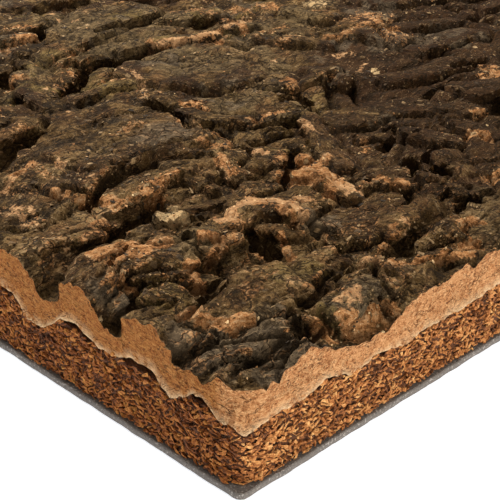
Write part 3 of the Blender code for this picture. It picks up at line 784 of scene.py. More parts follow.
def ridge_relief(u, v):
    """Height of the weathered face, distance across its ridges, and how dark its fissures are."""
    back = farther_back(u, v)
    looser = NEAR_SHARE + (1.0 - NEAR_SHARE) * back
    ridge_u, ridge_v = wander(u, v, (RIDGE_WANDER[0] * looser, *RIDGE_WANDER[1:]))
    for size, stretch, share, seed in BLOCKS:
        block = chunk_layout(ridge_u, ridge_v, size, stretch, seed)[0]
        pull = share * size * NEAR_SHARE * (1.0 - BACK_CALMER * back)
        ridge_u, ridge_v = ridge_u - pull * block[1], ridge_v - pull * stretch * block[2]
    highest, second = np.full_like(u, UNDER_FLOOR), np.full_like(u, UNDER_FLOOR)
    across = np.array(u)
    fill_weight = np.full_like(u, FILL_BASE)
    fill = FILL_BASE * (VALLEY_FLOOR + BACK_RISE * back)
    for number, ridge in enumerate(grown_ridges()):
        level, away, crest = ridge_level(ridge_u, ridge_v, 1.0 - BACK_GENTLER * back, *ridge)
        across = np.where(level > highest, away + RIDGE_SPACING * number, across)
        second = np.maximum(second, np.minimum(highest, level))
        highest = np.maximum(highest, level)
        weight = np.exp(-((away / (FILL_REACH * ridge[0])) ** 2))
        fill_weight, fill = fill_weight + weight, fill + weight * (crest - FILL_DROP)
    floor = roughened(u, v, FLOOR_SWELL, fill / fill_weight)
    across = np.where(floor > highest, u, across)
    second = np.maximum(second, np.minimum(highest, floor))
    highest = np.maximum(highest, floor)
    lead = highest - second
    height = highest + BLEND * np.log1p(np.exp(-lead / BLEND))
    height = height - CREASE_DEPTH * np.exp(-((lead / CREASE_WIDTH) ** 2))
    depth, dark = fissure_depth(*wander(u, v, (0.0, *RIDGE_WANDER[1:])))
    return roughened(u, v, FACE_SWELL, height - depth), across, dark


def inner_height(u, v):
    """Height of the bark's inner face, where it beds on the pressed board."""
    swell = roughened(u, v, BED_SWELL, BED_MEAN)
    return follow_cuts(u, v, swell, FRONT_BED, RIGHT_BED, ()) + roughened(u, v, BED_RAGGED)


def chunk_layout(u, v, size, stretch, seed):
    """The two nearest chunks to each place: their distances, places in them and random draws."""
    rng = np.random.default_rng(seed)
    middles = rng.uniform(*CHUNK_MIDDLES, (CHUNK_CELLS, CHUNK_CELLS, 2))
    draws = rng.uniform(-1.0, 1.0, (CHUNK_CELLS, CHUNK_CELLS, 3))
    across, along = u / size, v / (size * stretch)
    i, j = np.floor(across).astype(int), np.floor(along).astype(int)
    found = [[np.full_like(across, FAR_AWAY)] + [np.zeros_like(across)] * 5 for _ in range(2)]
    for step_i in (-1, 0, 1):
        for step_j in (-1, 0, 1):
            cell = ((i + step_i) % CHUNK_CELLS, (j + step_j) % CHUNK_CELLS)
            off_in = across - (i + step_i) - middles[cell][..., 0]
            off_back = along - (j + step_j) - middles[cell][..., 1]
            here = [np.hypot(off_in, off_back), off_in, off_back]
            here += [draws[cell][..., k] for k in range(3)]
            nearest = here[0] < found[0][0]
            next_nearest = ~nearest & (here[0] < found[1][0])
            found[1] = [
                np.where(nearest, first, np.where(next_nearest, new, second))
                for first, second, new in zip(found[0], found[1], here)
            ]
            found[0] = [np.where(nearest, new, first) for first, new in zip(found[0], here)]
    return found


def broken_chunks(u, v):
    """Height, crack strength and tone that the broken chunks of the skin add."""
    height, crack, tone = np.zeros_like(u), np.zeros_like(u), np.zeros_like(u)
    warp_u, warp_v = wander(u, v, CHUNK_WANDER)
    for size, stretch, lift, tilt, depth, width, tone_share, seed in CHUNKS:
        found = chunk_layout(warp_u, warp_v, size, stretch, seed)
        levels = [
            lift * own[3] + tilt * size * (own[1] * own[4] + own[2] * own[5]) for own in found
        ]
        apart = (found[1][0] - found[0][0]) * size * 0.5
        share = np.clip(apart / CHUNK_BLEND, 0.0, 1.0)
        height = height + levels[0] * (0.5 + 0.5 * share) + levels[1] * (0.5 - 0.5 * share)
        spread = noise(u, v, size * CRACK_SPREAD, seed + CRACK_SEED)
        line = np.exp(-((apart / width) ** 2)) * np.clip(CRACK_OPEN + CRACK_SWING * spread, 0.0, 1.0)
        height = height - depth * line
        crack = np.maximum(crack, line * min(1.0, depth))
        tone = tone + found[0][3] * tone_share
    return height, crack, tone


def layered(u, v, height):
    """Turns part of the fall of a slope into the broken steps of growth layers."""
    shift = roughened(u, v, LAYER_WANDER)
    places = (height + shift) / LAYER_STEP
    floors = np.floor(places)
    steps = floors + np.clip((places - floors - LAYER_TREAD) / LAYER_RISER, 0.0, 1.0)
    share = LAYER_SHARE * np.clip(roughened(u, v, LAYER_SWING, LAYER_MIDDLE), 0.0, 1.0)
    return height * (1.0 - share) + (steps * LAYER_STEP - shift) * share


def weathered_height(u, v):
    """Height, crack strength, tone and distance across the ridges of the weathered face."""
    height, across, dark = ridge_relief(u, v)
    height = layered(u, v, follow_cuts(u, v, height, FRONT_TOP, RIGHT_TOP, TOP_RAGGED))
    broken, crack, tone = broken_chunks(u, v)
    wrinkle = np.clip(WRINKLE_WIDTH - np.abs(noise(u, v, *WRINKLES)), 0.0, WRINKLE_WIDTH)
    fine = roughened(u, v, FINE_GRAIN) - WRINKLE_DEPTH * wrinkle
    height = height + (broken + fine) * (1.0 - BACK_CALMER * farther_back(u, v))
    height = np.maximum(height, inner_height(u, v) + BARK_LEAST)
    below_limit = np.log1p(np.exp((TOP_LIMIT - height) * TOP_SHARPNESS)) / TOP_SHARPNESS
    return TOP_LIMIT - below_limit, np.maximum(crack, dark), tone, across


class Survey:
    """The weathered face on an even grid, to be blurred to any width and looked up anywhere."""

    def __init__(self):
        reach = np.arange(-SURVEY_MARGIN, SIDE + SURVEY_MARGIN + SURVEY_STEP, SURVEY_STEP)
        u, v = np.meshgrid(reach, reach, indexing="ij")
        self.height = weathered_height(u, v)[0]

    def blurred(self, width):
        """The heights blurred to a width in millimetres."""
        places = np.arange(-int(3 * width) - 1, int(3 * width) + 2) * SURVEY_STEP
        weights = np.exp(-0.5 * (places / width) ** 2)
        weights /= weights.sum()
        field = self.height
        for axis in (0, 1):
            margins = [(len(places) // 2,) * 2 if k == axis else (0, 0) for k in (0, 1)]
            field = np.pad(field, margins, "edge")
            field = np.apply_along_axis(np.convolve, axis, field, weights, "valid")
        return field

    def look_up(self, field, u, v):
        """A field's value at any places."""
        across = np.clip((u + SURVEY_MARGIN) / SURVEY_STEP, 0, field.shape[0] - 2)
        along = np.clip((v + SURVEY_MARGIN) / SURVEY_STEP, 0, field.shape[1] - 2)
        i, j = across.astype(int), along.astype(int)
        s, t = across - i, along - j
        low = field[i, j] * (1.0 - s) + field[i + 1, j] * s
        high = field[i, j + 1] * (1.0 - s) + field[i + 1, j + 1] * s
        return low * (1.0 - t) + high * t


def graded_places(count, near, far):
    """Places across the tile, close together at the near corner and wider apart far from it."""
    steps = np.linspace(near, far, count)
    places = np.concatenate(([0.0], np.cumsum(steps)))
    return INSET + places * (SIDE - 2 * INSET) / places[-1]


def rounded(u, v, inset=INSET, near_radius=CORNER, power=2.0):
    """Places near a square's corners drawn in to arcs. A power under 2 flattens the near corner's arc."""
    half = SIDE / 2 - inset
    x, y = u - SIDE / 2, v - SIDE / 2
    near = (x < 0.0) & (y < 0.0)
    reach = np.where(near, near_radius, CORNER)
    bend = np.where(near, power, 2.0)
    over_x, over_y = np.abs(x) - (half - reach), np.abs(y) - (half - reach)
    outside = (over_x > 0.0) & (over_y > 0.0)
    over_x, over_y = np.where(outside, over_x, 1.0), np.where(outside, over_y, 1.0)
    pull = np.maximum(over_x, over_y) / (over_x ** bend + over_y ** bend) ** (1.0 / bend)
    x = np.where(outside, np.copysign(half - reach + over_x * pull, x), x)
    y = np.where(outside, np.copysign(half - reach + over_y * pull, y), y)
    return x + SIDE / 2, y + SIDE / 2


def in_frame(u, v, height):
    """Vertices in metres from places on the tile and heights in millimetres."""
    return np.stack([SIDE / 2 - u, v - SIDE / 2, height], axis=-1).reshape(-1, 3) * MM


def grid_border(rows, columns):
    """Numbers of the vertices round a grid, in order round the tile."""
    index = np.arange(rows * columns).reshape(rows, columns)
    return np.concatenate([index[:-1, 0], index[-1, :-1], index[:0:-1, -1], index[0, :0:-1]])


def grid_faces(rows, columns, start=0):
    """The quads of a grid of vertices."""
    index = np.arange(rows * columns).reshape(rows, columns) + start
    corners = (index[:-1, :-1], index[1:, :-1], index[1:, 1:], index[:-1, 1:])
    return np.stack(corners, axis=-1).reshape(-1, 4)


def band_faces(rings):
    """The quads between rings of vertices that have the same count."""
    faces = []
    for upper, lower in zip(rings[:-1], rings[1:]):
        faces.append(np.stack([upper, np.roll(upper, -1), np.roll(lower, -1), lower], axis=-1))
    return np.concatenate(faces)


def ring_turns(ring, places, start):
    """How far round from a start each vertex of a ring lies."""
    angle = np.arctan2(places[ring][:, 1], places[ring][:, 0])
    return np.abs(np.unwrap(angle - start))


def stitch(outer, inner, places):
    """Triangles between two closed rings of different counts, matched by their direction."""
    first = places[outer[0]]
    nearest = np.argmin(np.hypot(*(places[inner][:, :2] - first[:2]).T))
    inner = np.roll(inner, -nearest)
    start = np.arctan2(first[1], first[0])
    outer_turns, inner_turns = ring_turns(outer, places, start), ring_turns(inner, places, start)
    triangles, i, j = [], 0, 0
    while i < len(outer) or j < len(inner):
        next_outer = outer_turns[i + 1] if i + 1 < len(outer) else 2 * math.pi
        next_inner = inner_turns[j + 1] if j + 1 < len(inner) else 2 * math.pi
        here = (outer[i % len(outer)], inner[j % len(inner)])
        if i < len(outer) and (j >= len(inner) or next_outer <= next_inner):
            triangles.append((here[0], outer[(i + 1) % len(outer)], here[1]))
            i += 1
        else:
            triangles.append((here[0], inner[(j + 1) % len(inner)], here[1]))
            j += 1
    return triangles


def make_mesh(name, places, faces, sharp_angle):
    """A closed mesh with its faces outward, smooth but for edges sharper than an angle."""
    mesh = bpy.data.meshes.new(name)
    mesh.from_pydata(places.tolist(), [], [[int(k) for k in face] for face in faces])
    bm = bmesh.new()
    bm.from_mesh(mesh)
    bmesh.ops.recalc_face_normals(bm, faces=bm.faces)
    bm.to_mesh(mesh)
    bm.free()
    mesh.shade_smooth()
    mesh.set_sharp_from_angle(angle=math.radians(sharp_angle))
    return mesh


def store(mesh, name, values):
    """Keeps one number for each vertex, for the materials and scatters to read."""
    layer = mesh.attributes.new(name, "FLOAT", "POINT")
    layer.data.foreach_set("value", np.asarray(values, np.float32))


def add_piece(name, mesh, material):
    """Puts a finished mesh in the scene."""
    mesh.materials.clear()
    mesh.materials.append(material)
    piece = bpy.data.objects.new(name, mesh)
    bpy.context.scene.collection.objects.link(piece)
    return piece


def patch_masks(u, v):
    """How strongly each finish of the patches shows at each place."""
    near_u, near_v = wander(u, v, PATCH_WANDER)
    masks = {}
    for finish, rows in PATCHES.items():
        masks[finish] = np.zeros_like(u)
        for strength, half_width, places in rows:
            away = away_from_line(near_u, near_v, places)
            mask = strength * (1.0 - smooth_step(away, *(share * half_width for share in PATCH_EDGE)))
            masks[finish] = np.maximum(masks[finish], mask)
    return masks


def grown_patches(u, v, masks):
    """Adds patches by rule on the bark that the listed ones don't reach."""
    clear = np.maximum(smooth_step(u + v, *GROWN_FROM), GROWN_LEAST)
    # Grown ochre and tan stay off the umber patches, the painted shade at the back among them, and off the
    # char patches
    quiet = 1.0 - np.maximum(masks["umber"], masks["char"])
    for finish in ("ochre", "tan", "pale"):
        masks[finish] = masks[finish] * (1.0 - BACK_PLAINER * farther_back(u, v))
    for finish, size, seed, least in GROWN_PATCHES:
        detail = noise(u, v, size / GROWN_DETAIL_FINER, seed + GROWN_DETAIL_SEED)
        grown = noise(u, v, size, seed, GROWN_STRETCH) + GROWN_DETAIL * detail
        share = clear * smooth_step(grown, least, least + GROWN_EDGE)
        share = share * quiet if finish in ("ochre", "tan") else share
        masks[finish] = np.maximum(masks[finish], share * GROWN_STRENGTH)


def lips(survey, u, v, height):
    """Sideways moves that pull the broken rims out over the valleys."""
    slopes = np.gradient(survey.blurred(LIP_SLOPE_BLUR), SURVEY_STEP)
    slope_in, slope_back = (survey.look_up(slope, u, v) for slope in slopes)
    above = height - survey.look_up(survey.blurred(LIP_LEVEL_BLUR), u, v)
    pull = -LIP_PULL * np.clip(above, -LIP_REACH, LIP_REACH)
    steep = smooth_step(np.hypot(slope_in, slope_back), *LIP_SLOPES)
    move_in, move_back = pull * slope_in * steep, pull * slope_back * steep
    shrink = LIP_MOST / np.maximum(np.hypot(move_in, move_back), LIP_MOST)
    clear_in, clear_back = (
        np.clip(np.minimum(place - INSET, SIDE - INSET - place) / LIP_CLEAR, 0.0, 1.0) for place in (u, v)
    )
    return move_in * shrink * clear_in, move_back * shrink * clear_back


def bed_grid():
    """Places of a coarse grid over the middle of the tile."""
    reach = np.linspace(INNER_INSET, SIDE - INNER_INSET, INNER_CELLS + 1)
    return np.meshgrid(reach, reach, indexing="ij")


def bark_readings(survey, u, v, height, crack, tone, across):
    """What the bark's finish and scatters read: names, with values on the top, the cuts and below."""
    def mean(blur):
        """The relief's level round each place."""
        return survey.look_up(survey.blurred(blur), u, v)

    slopes = np.gradient(survey.blurred(BROW_SLOPE[0]), SURVEY_STEP)
    scarp = survey.look_up(slopes[0] - BROW_TURN * slopes[1], u, v)
    brow = smooth_step(height - mean(BROW[0]), *BROW[1:]) * smooth_step(scarp, *BROW_SLOPE[1:])
    plainer = 1.0 - BACK_PLAINER * farther_back(u, v)
    # Where the painted shade of the front cut lies
    front = np.clip(1.0 - np.abs(v - INSET) / FRONT_WIDTH, 0.0, 1.0) * smooth_step(u, *FRONT_START)
    masks = patch_masks(u, v)
    grown_patches(u, v, masks)
    clumps = smooth_step(roughened(u, v, CLUMPS), *CLUMP_EDGE)
    pale = PALE_IN_CLUMPS * clumps + PALE_ON_BROKEN * np.maximum(masks["ochre"], masks["tan"])
    nothing, bare = np.zeros_like(height), [0.0] * len(CUT_ROWS)
    return [
        ("across", across),
        ("brow", brow * plainer),
        # Painted shade and dirt: how deep each place lies in a hollow
        ("hollow", smooth_step(mean(HOLLOW[0]) - height, *HOLLOW[1:])),
        # Painted shade: how deep each place lies in a valley
        ("valley", smooth_step(mean(VALLEY[0]) - height, *VALLEY[1:])),
        ("rim", plainer * np.clip((height - mean(RIM_BLUR)) * RIM_GAIN, 0.0, 1.0)),
        ("crack", np.clip(crack, 0.0, 1.0)),
        ("tone", np.clip(tone, -1.0, 1.0)),
        ("sawn", nothing, [0.0] + [1.0] * (len(CUT_ROWS) - 1), 1.0),
        # Where the painted highlight along the cuts' lower edge lies
        ("lower_edge", nothing, [smooth_step(np.array(share), *LOWER_EDGE_HIGHLIGHT) for share in CUT_ROWS], 1.0),
        ("front_cut", front),
        ("flake_share", clumps * FLAKES_IN_CLUMPS, bare),
        ("crumb_share", np.clip(CRUMBS_ELSEWHERE + clumps, 0.0, 1.0), bare),
        ("pale_share", np.clip(pale, 0.0, 1.0), bare),
        *masks.items(),
    ]


def bark_mesh(sizes):
    """The bark as one closed mesh, with what its finish and its scatters read."""
    reach = graded_places(sizes.relief_cells, *CELL_GRADES)
    flat_u, flat_v = np.meshgrid(reach, reach, indexing="ij")
    u, v = rounded(flat_u, flat_v, near_radius=CUT_CORNER[0], power=CUT_CORNER[1])
    survey = Survey()
    height, crack, tone, across = weathered_height(u, v)
    move_in, move_back = lips(survey, u, v, height)
    top = in_frame(u + move_in, v + move_back, height)
    border = grid_border(*height.shape)
    edge_u, edge_v = rounded(flat_u.ravel()[border], flat_v.ravel()[border], near_radius=BED_CORNER)
    bed = in_frame(edge_u, edge_v, inner_height(edge_u, edge_v))
    outward = outward_at(edge_u, edge_v)
    places, rings, count = [top], [border], len(top)
    for share in CUT_ROWS[1:]:
        ring = top[border] * (1.0 - share) + bed * share
        out = roughened(edge_u + edge_v, ring[:, 2] / MM, CUT_ROUGH) - CUT_SET_BACK
        out = out if share < 1.0 else out * 0.0 + CUT_FOOT
        ring[:, :2] += outward * out[:, None] * MM
        places.append(ring)
        rings.append(np.arange(len(border)) + count)
        count += len(border)
    middle_u, middle_v = bed_grid()
    places.append(in_frame(middle_u, middle_v, inner_height(middle_u, middle_v)))
    inner_ring = grid_border(*middle_u.shape) + count
    places = np.concatenate(places)
    faces = list(grid_faces(*height.shape)) + list(band_faces(rings))
    faces += stitch(rings[-1], inner_ring, places)
    faces += list(grid_faces(*middle_u.shape, start=count))
    mesh = make_mesh("bark", places, faces, sizes.sharp_angle)

    def on_all(values, cut=None, under=0.0):
        """Values on the top, repeated or replaced on the cut faces and the underside."""
        parts = [values.ravel()]
        for k, _ in enumerate(CUT_ROWS[1:], 1):
            parts.append(values.ravel()[border] if cut is None else np.full(len(border), cut[k]))
        return np.concatenate(parts + [np.full(middle_u.size, under)])

    for name, *values in bark_readings(survey, u, v, height, crack, tone, across):
        store(mesh, name, on_all(*values))
    return mesh


def outward_at(u, v):
    """The way out of the tile's side at places on its outline, in the frame."""
    half = SIDE / 2 - INSET
    x, y = SIDE / 2 - u, v - SIDE / 2
    over_x = np.copysign(np.clip(np.abs(x) - (half - CORNER), 0.0, None), x)
    over_y = np.copysign(np.clip(np.abs(y) - (half - CORNER), 0.0, None), y)
    out = np.stack([over_x, over_y], axis=-1)
    return out / np.maximum(np.hypot(over_x, over_y)[:, None], 1e-9)


def outline(step, inset, near_radius):
    """Places round the tile's rounded outline, at even steps."""
    count = int((SIDE - 2 * inset) / step)
    reach = np.linspace(inset, SIDE - inset, count + 1)
    low, high = np.full(count, inset), np.full(count, SIDE - inset)
    u = np.concatenate([reach[:-1], high, reach[:0:-1], low])
    v = np.concatenate([low, reach[:-1], high, reach[:0:-1]])
    return rounded(u, v, inset, near_radius)


def pocket_depth(u, v):
    """How far the board lies below the bark in the dark pockets at the cuts."""
    depth = np.zeros_like(u)
    for cut, place, half_length, deepest in POCKETS:
        along, away = (u, v) if cut == "front" else (v, u)
        share = np.clip(1.0 - ((along - place) / half_length) ** 2, 0.0, 1.0) ** POCKET_FULLNESS
        open_here = np.clip(POCKET_MOUTH - (away - INSET) / POCKET_REACH, 0.0, 1.0)
        depth = np.maximum(depth, deepest * share * open_here)
    return depth


def board_top(u, v):
    """Height of the pressed board where the bark beds on it."""
    return inner_height(u, v) - GAP - pocket_depth(u, v)


def board_rings(inset, step, rows):
    """Outlines of the board from its top down: its near corner is sharper at the top."""
    for share in np.linspace(0.0, 1.0, rows):
        u, v = outline(step, inset, BED_CORNER * (1.0 - share) + CORNER * share)
        yield share, u, v


def granule_bed(sizes):
    """The band round the board's sawn sides that its granules are set on."""
    rings, places = [], []
    inset = INSET + GRANULE_BED_IN * sizes.granule_least
    for share, u, v in board_rings(inset, GRANULE_BED_STEP, GRANULE_BED_ROWS):
        top = board_top(u, v) + GRANULE_BED_TOP
        rings.append(np.arange(len(u)) + len(u) * len(rings))
        places.append(in_frame(u, v, top * (1.0 - share) + (SHEET_TOP + GRANULE_BED_FOOT) * share))
    faces = band_faces(rings)
    mesh = bpy.data.meshes.new("granule_bed")
    mesh.from_pydata(np.concatenate(places).tolist(), [], faces[:, ::-1].tolist())
    face = mesh.polygons[0]
    if face.normal.dot(face.center) < 0.0:
        mesh.flip_normals()
    store(mesh, "share", np.ones(len(mesh.vertices)))
    return mesh


def board_mesh(sizes):
    """The body of the pressed board: rough sides behind the granules, and pockets under the bark."""
    shelf_u, shelf_v = outline(BOARD_STEP, INSET + POCKET_REACH, BED_CORNER)
    places, rings, count = [in_frame(shelf_u, shelf_v, board_top(shelf_u, shelf_v))], [], len(shelf_u)
    shelf = np.arange(count)
    for share, u, v in board_rings(INSET + sizes.granule_least, BOARD_STEP, BOARD_ROWS):
        height = board_top(u, v) * (1.0 - share) + (SHEET_TOP + GAP) * share
        out = roughened(u + v, height, BOARD_ROUGH) + roughened(u - v, height, BOARD_CROSS_ROUGH)
        ring = in_frame(u, v, height)
        ring[:, :2] += outward_at(*rounded(u, v)) * out[:, None] * MM
        places.append(ring)
        rings.append(np.arange(len(u)) + count)
        count += len(u)
    middle_u, middle_v = bed_grid()
    places.append(in_frame(middle_u, middle_v, inner_height(middle_u, middle_v) - GAP))
    inner_ring = grid_border(*middle_u.shape) + count
    places = np.concatenate(places)
    faces = list(band_faces(rings)) + [list(rings[-1])]
    faces += stitch(rings[0], shelf, places) + stitch(shelf, inner_ring, places)
    faces += list(grid_faces(*middle_u.shape, start=count))
    return make_mesh("board", places, faces, sizes.sharp_angle)


def sheet_mesh(sizes):
    """The backing sheet, cut with a slightly uneven edge."""
    u, v = outline(SHEET_STEP, 0.0, SHEET_CORNER)
    outward = outward_at(*rounded(u, v))
    uneven = roughened(np.arange(len(u)) * SHEET_STEP, u * 0.0, SHEET_ROUGH) - SHEET_SET_BACK
    rings, places = [], []
    for drawn_in, height in SHEET_EDGE:
        ring = in_frame(u, v, np.full(len(u), height))
        ring[:, :2] += outward * (uneven - drawn_in)[:, None] * MM
        rings.append(np.arange(len(u)) + len(u) * len(rings))
        places.append(ring)
    faces = list(band_faces(rings)) + [list(rings[0]), list(rings[-1])]
    return make_mesh("sheet", np.concatenate(places), faces, sizes.sharp_angle)


def chip_forms(name):
    """A few angular bits of cork, one across, for a scatter to pick from."""
    count, shape, seed = CHIPS[name]
    rng = np.random.default_rng(seed)
    collection = bpy.data.collections.new(name)
    for k in range(count):
        bm = bmesh.new()
        for _ in range(CHIP_CORNERS):
            place = rng.normal(size=3)
            bm.verts.new(Vector(place / np.linalg.norm(place) * shape * rng.uniform(*CHIP_REACH)) / 2)
        hull = bmesh.ops.convex_hull(bm, input=bm.verts)
        bmesh.ops.delete(bm, geom=hull["geom_interior"], context="VERTS")
        bmesh.ops.triangulate(bm, faces=bm.faces)
        bmesh.ops.recalc_face_normals(bm, faces=bm.faces)
        mesh = bpy.data.meshes.new(f"{name}_{k}")
        bm.to_mesh(mesh)
        bm.free()
        collection.objects.link(bpy.data.objects.new(f"{name}_{k}", mesh))
    return collection


SCATTER_INPUTS = (
    ("Surface", "NodeSocketGeometry"), ("Chips", "NodeSocketCollection"), ("Finish", "NodeSocketMaterial"),
    ("Spacing", "NodeSocketFloat"), ("Crowding", "NodeSocketFloat"), ("Share", "NodeSocketString"),
    ("Least", "NodeSocketFloat"), ("Greatest", "NodeSocketFloat"), ("Sink", "NodeSocketFloat"),
    ("Spin", "NodeSocketFloat"), ("Lean", "NodeSocketFloat"), ("Seed", "NodeSocketInt"),
)


def scatter_tree():
    """Nodes that set chips on a surface, each turned, sized, sunk and toned by seeded draws."""
    tree = bpy.data.node_groups.new(SCATTER, "GeometryNodeTree")
    for name, kind in SCATTER_INPUTS:
        tree.interface.new_socket(name=name, in_out="INPUT", socket_type=kind)
    tree.interface.new_socket(name="Set chips", in_out="OUTPUT", socket_type="NodeSocketGeometry")

    def node(kind, **settings):
        """A new node with its settings."""
        made = tree.nodes.new(kind)
        for key, value in settings.items():
            setattr(made, key, value)
        return made

    def join(source, target):
        """Links an output to an input."""
        tree.links.new(source, target)

    given = node("NodeGroupInput").outputs
    spread = node("GeometryNodeDistributePointsOnFaces", distribute_method="POISSON")
    share = node("GeometryNodeInputNamedAttribute", data_type="FLOAT")
    chips = node("GeometryNodeCollectionInfo", transform_space="ORIGINAL")
    chips.inputs["Separate Children"].default_value = True
    chips.inputs["Reset Children"].default_value = True
    join(given["Surface"], spread.inputs["Mesh"])
    join(given["Spacing"], spread.inputs["Distance Min"])
    join(given["Crowding"], spread.inputs["Density Max"])
    join(given["Share"], share.inputs["Name"])
    join(share.outputs["Attribute"], spread.inputs["Density Factor"])
    join(given["Seed"], spread.inputs["Seed"])
    join(given["Chips"], chips.inputs["Collection"])

    def draw(step, low, high):
        """A random vector between two, from the seed moved on by a step."""
        moved = node("ShaderNodeMath", operation="ADD")
        moved.inputs[1].default_value = step
        join(given["Seed"], moved.inputs[0])
        made = node("FunctionNodeRandomValue", data_type="FLOAT_VECTOR")
        join(low, made.inputs[0])
        join(high, made.inputs[1])
        join(moved.outputs[0], made.inputs["Seed"])
        return made.outputs[0]

    def vector(x, y, z, factor=1.0):
        """A vector from three sockets, times a factor."""
        made = node("ShaderNodeCombineXYZ")
        for socket, slot in zip((x, y, z), made.inputs):
            join(socket, slot)
        scaled = node("ShaderNodeVectorMath", operation="SCALE")
        scaled.inputs["Scale"].default_value = factor
        join(made.outputs[0], scaled.inputs[0])
        return scaled.outputs[0]

    least = vector(given["Least"], given["Least"], given["Least"])
    greatest = vector(given["Greatest"], given["Greatest"], given["Greatest"])
    size = draw(SIZE_DRAW, least, greatest)
    turns = (given["Lean"], given["Lean"], given["Spin"])
    turn = node("FunctionNodeEulerToRotation")
    join(draw(TURN_DRAW, vector(*turns, factor=-1.0), vector(*turns)), turn.inputs[0])
    turned = node("FunctionNodeRotateRotation", rotation_space="LOCAL")
    join(spread.outputs["Rotation"], turned.inputs[0])
    join(turn.outputs[0], turned.inputs[1])
    placed = node("GeometryNodeInstanceOnPoints")
    placed.inputs["Pick Instance"].default_value = True
    pick = node("FunctionNodeRandomValue", data_type="INT")
    pick.inputs["Min"].default_value = 0
    pick.inputs["Max"].default_value = LAST_PICK
    join(given["Seed"], pick.inputs["Seed"])
    join(spread.outputs["Points"], placed.inputs["Points"])
    join(chips.outputs[0], placed.inputs["Instance"])
    join(pick.outputs[2], placed.inputs["Instance Index"])
    join(turned.outputs[0], placed.inputs["Rotation"])
    join(size, placed.inputs["Scale"])
    sunk = node("GeometryNodeTranslateInstances")
    nothing = node("ShaderNodeValue")
    nothing.outputs[0].default_value = 0.0
    deep = vector(nothing.outputs[0], nothing.outputs[0], given["Sink"], factor=-1.0)
    none = vector(nothing.outputs[0], nothing.outputs[0], nothing.outputs[0])
    join(placed.outputs[0], sunk.inputs["Instances"])
    join(draw(SINK_DRAW, deep, none), sunk.inputs["Translation"])
    toned = node("GeometryNodeStoreNamedAttribute", data_type="FLOAT", domain="INSTANCE")
    toned.inputs["Name"].default_value = "tone"
    tone = node("FunctionNodeRandomValue", data_type="FLOAT")
    join(sunk.outputs[0], toned.inputs["Geometry"])
    join(tone.outputs[1], toned.inputs["Value"])
    real = node("GeometryNodeRealizeInstances")
    finished = node("GeometryNodeSetMaterial")
    join(toned.outputs[0], real.inputs[0])
    join(real.outputs[0], finished.inputs["Geometry"])
    join(given["Finish"], finished.inputs["Material"])
    join(finished.outputs[0], node("NodeGroupOutput").inputs[0])
    return tree


def scatter(name, surface, material, spacing, crowding, **inputs):
    """A plain mesh of chips scattered over a surface, as one piece."""
    tree = bpy.data.node_groups.get(SCATTER) or scatter_tree()
    piece = bpy.data.objects.new(name, surface)
    bpy.context.scene.collection.objects.link(piece)
    modifier = piece.modifiers.new("Scatter", "NODES")
    modifier.node_group = tree
    inputs.update(Finish=material, Spacing=spacing * MM, Crowding=crowding / (spacing * MM) ** 2)
    for item in tree.interface.items_tree:
        if item.in_out == "INPUT" and item.name in inputs:
            modifier[item.identifier] = inputs[item.name]
    evaluated = piece.evaluated_get(bpy.context.evaluated_depsgraph_get())
    mesh = bpy.data.meshes.new_from_object(evaluated)
    piece.modifiers.clear()
    piece.data = mesh
    mesh.shade_flat()
    if not mesh.polygons:
        raise RuntimeError(f"{name} came out empty")
    return piece


def clear_forms(collection):
    """Removes the loose chips that a scatter picked from."""
    for form in list(collection.objects):
        bpy.data.objects.remove(form)
    bpy.data.collections.remove(collection)


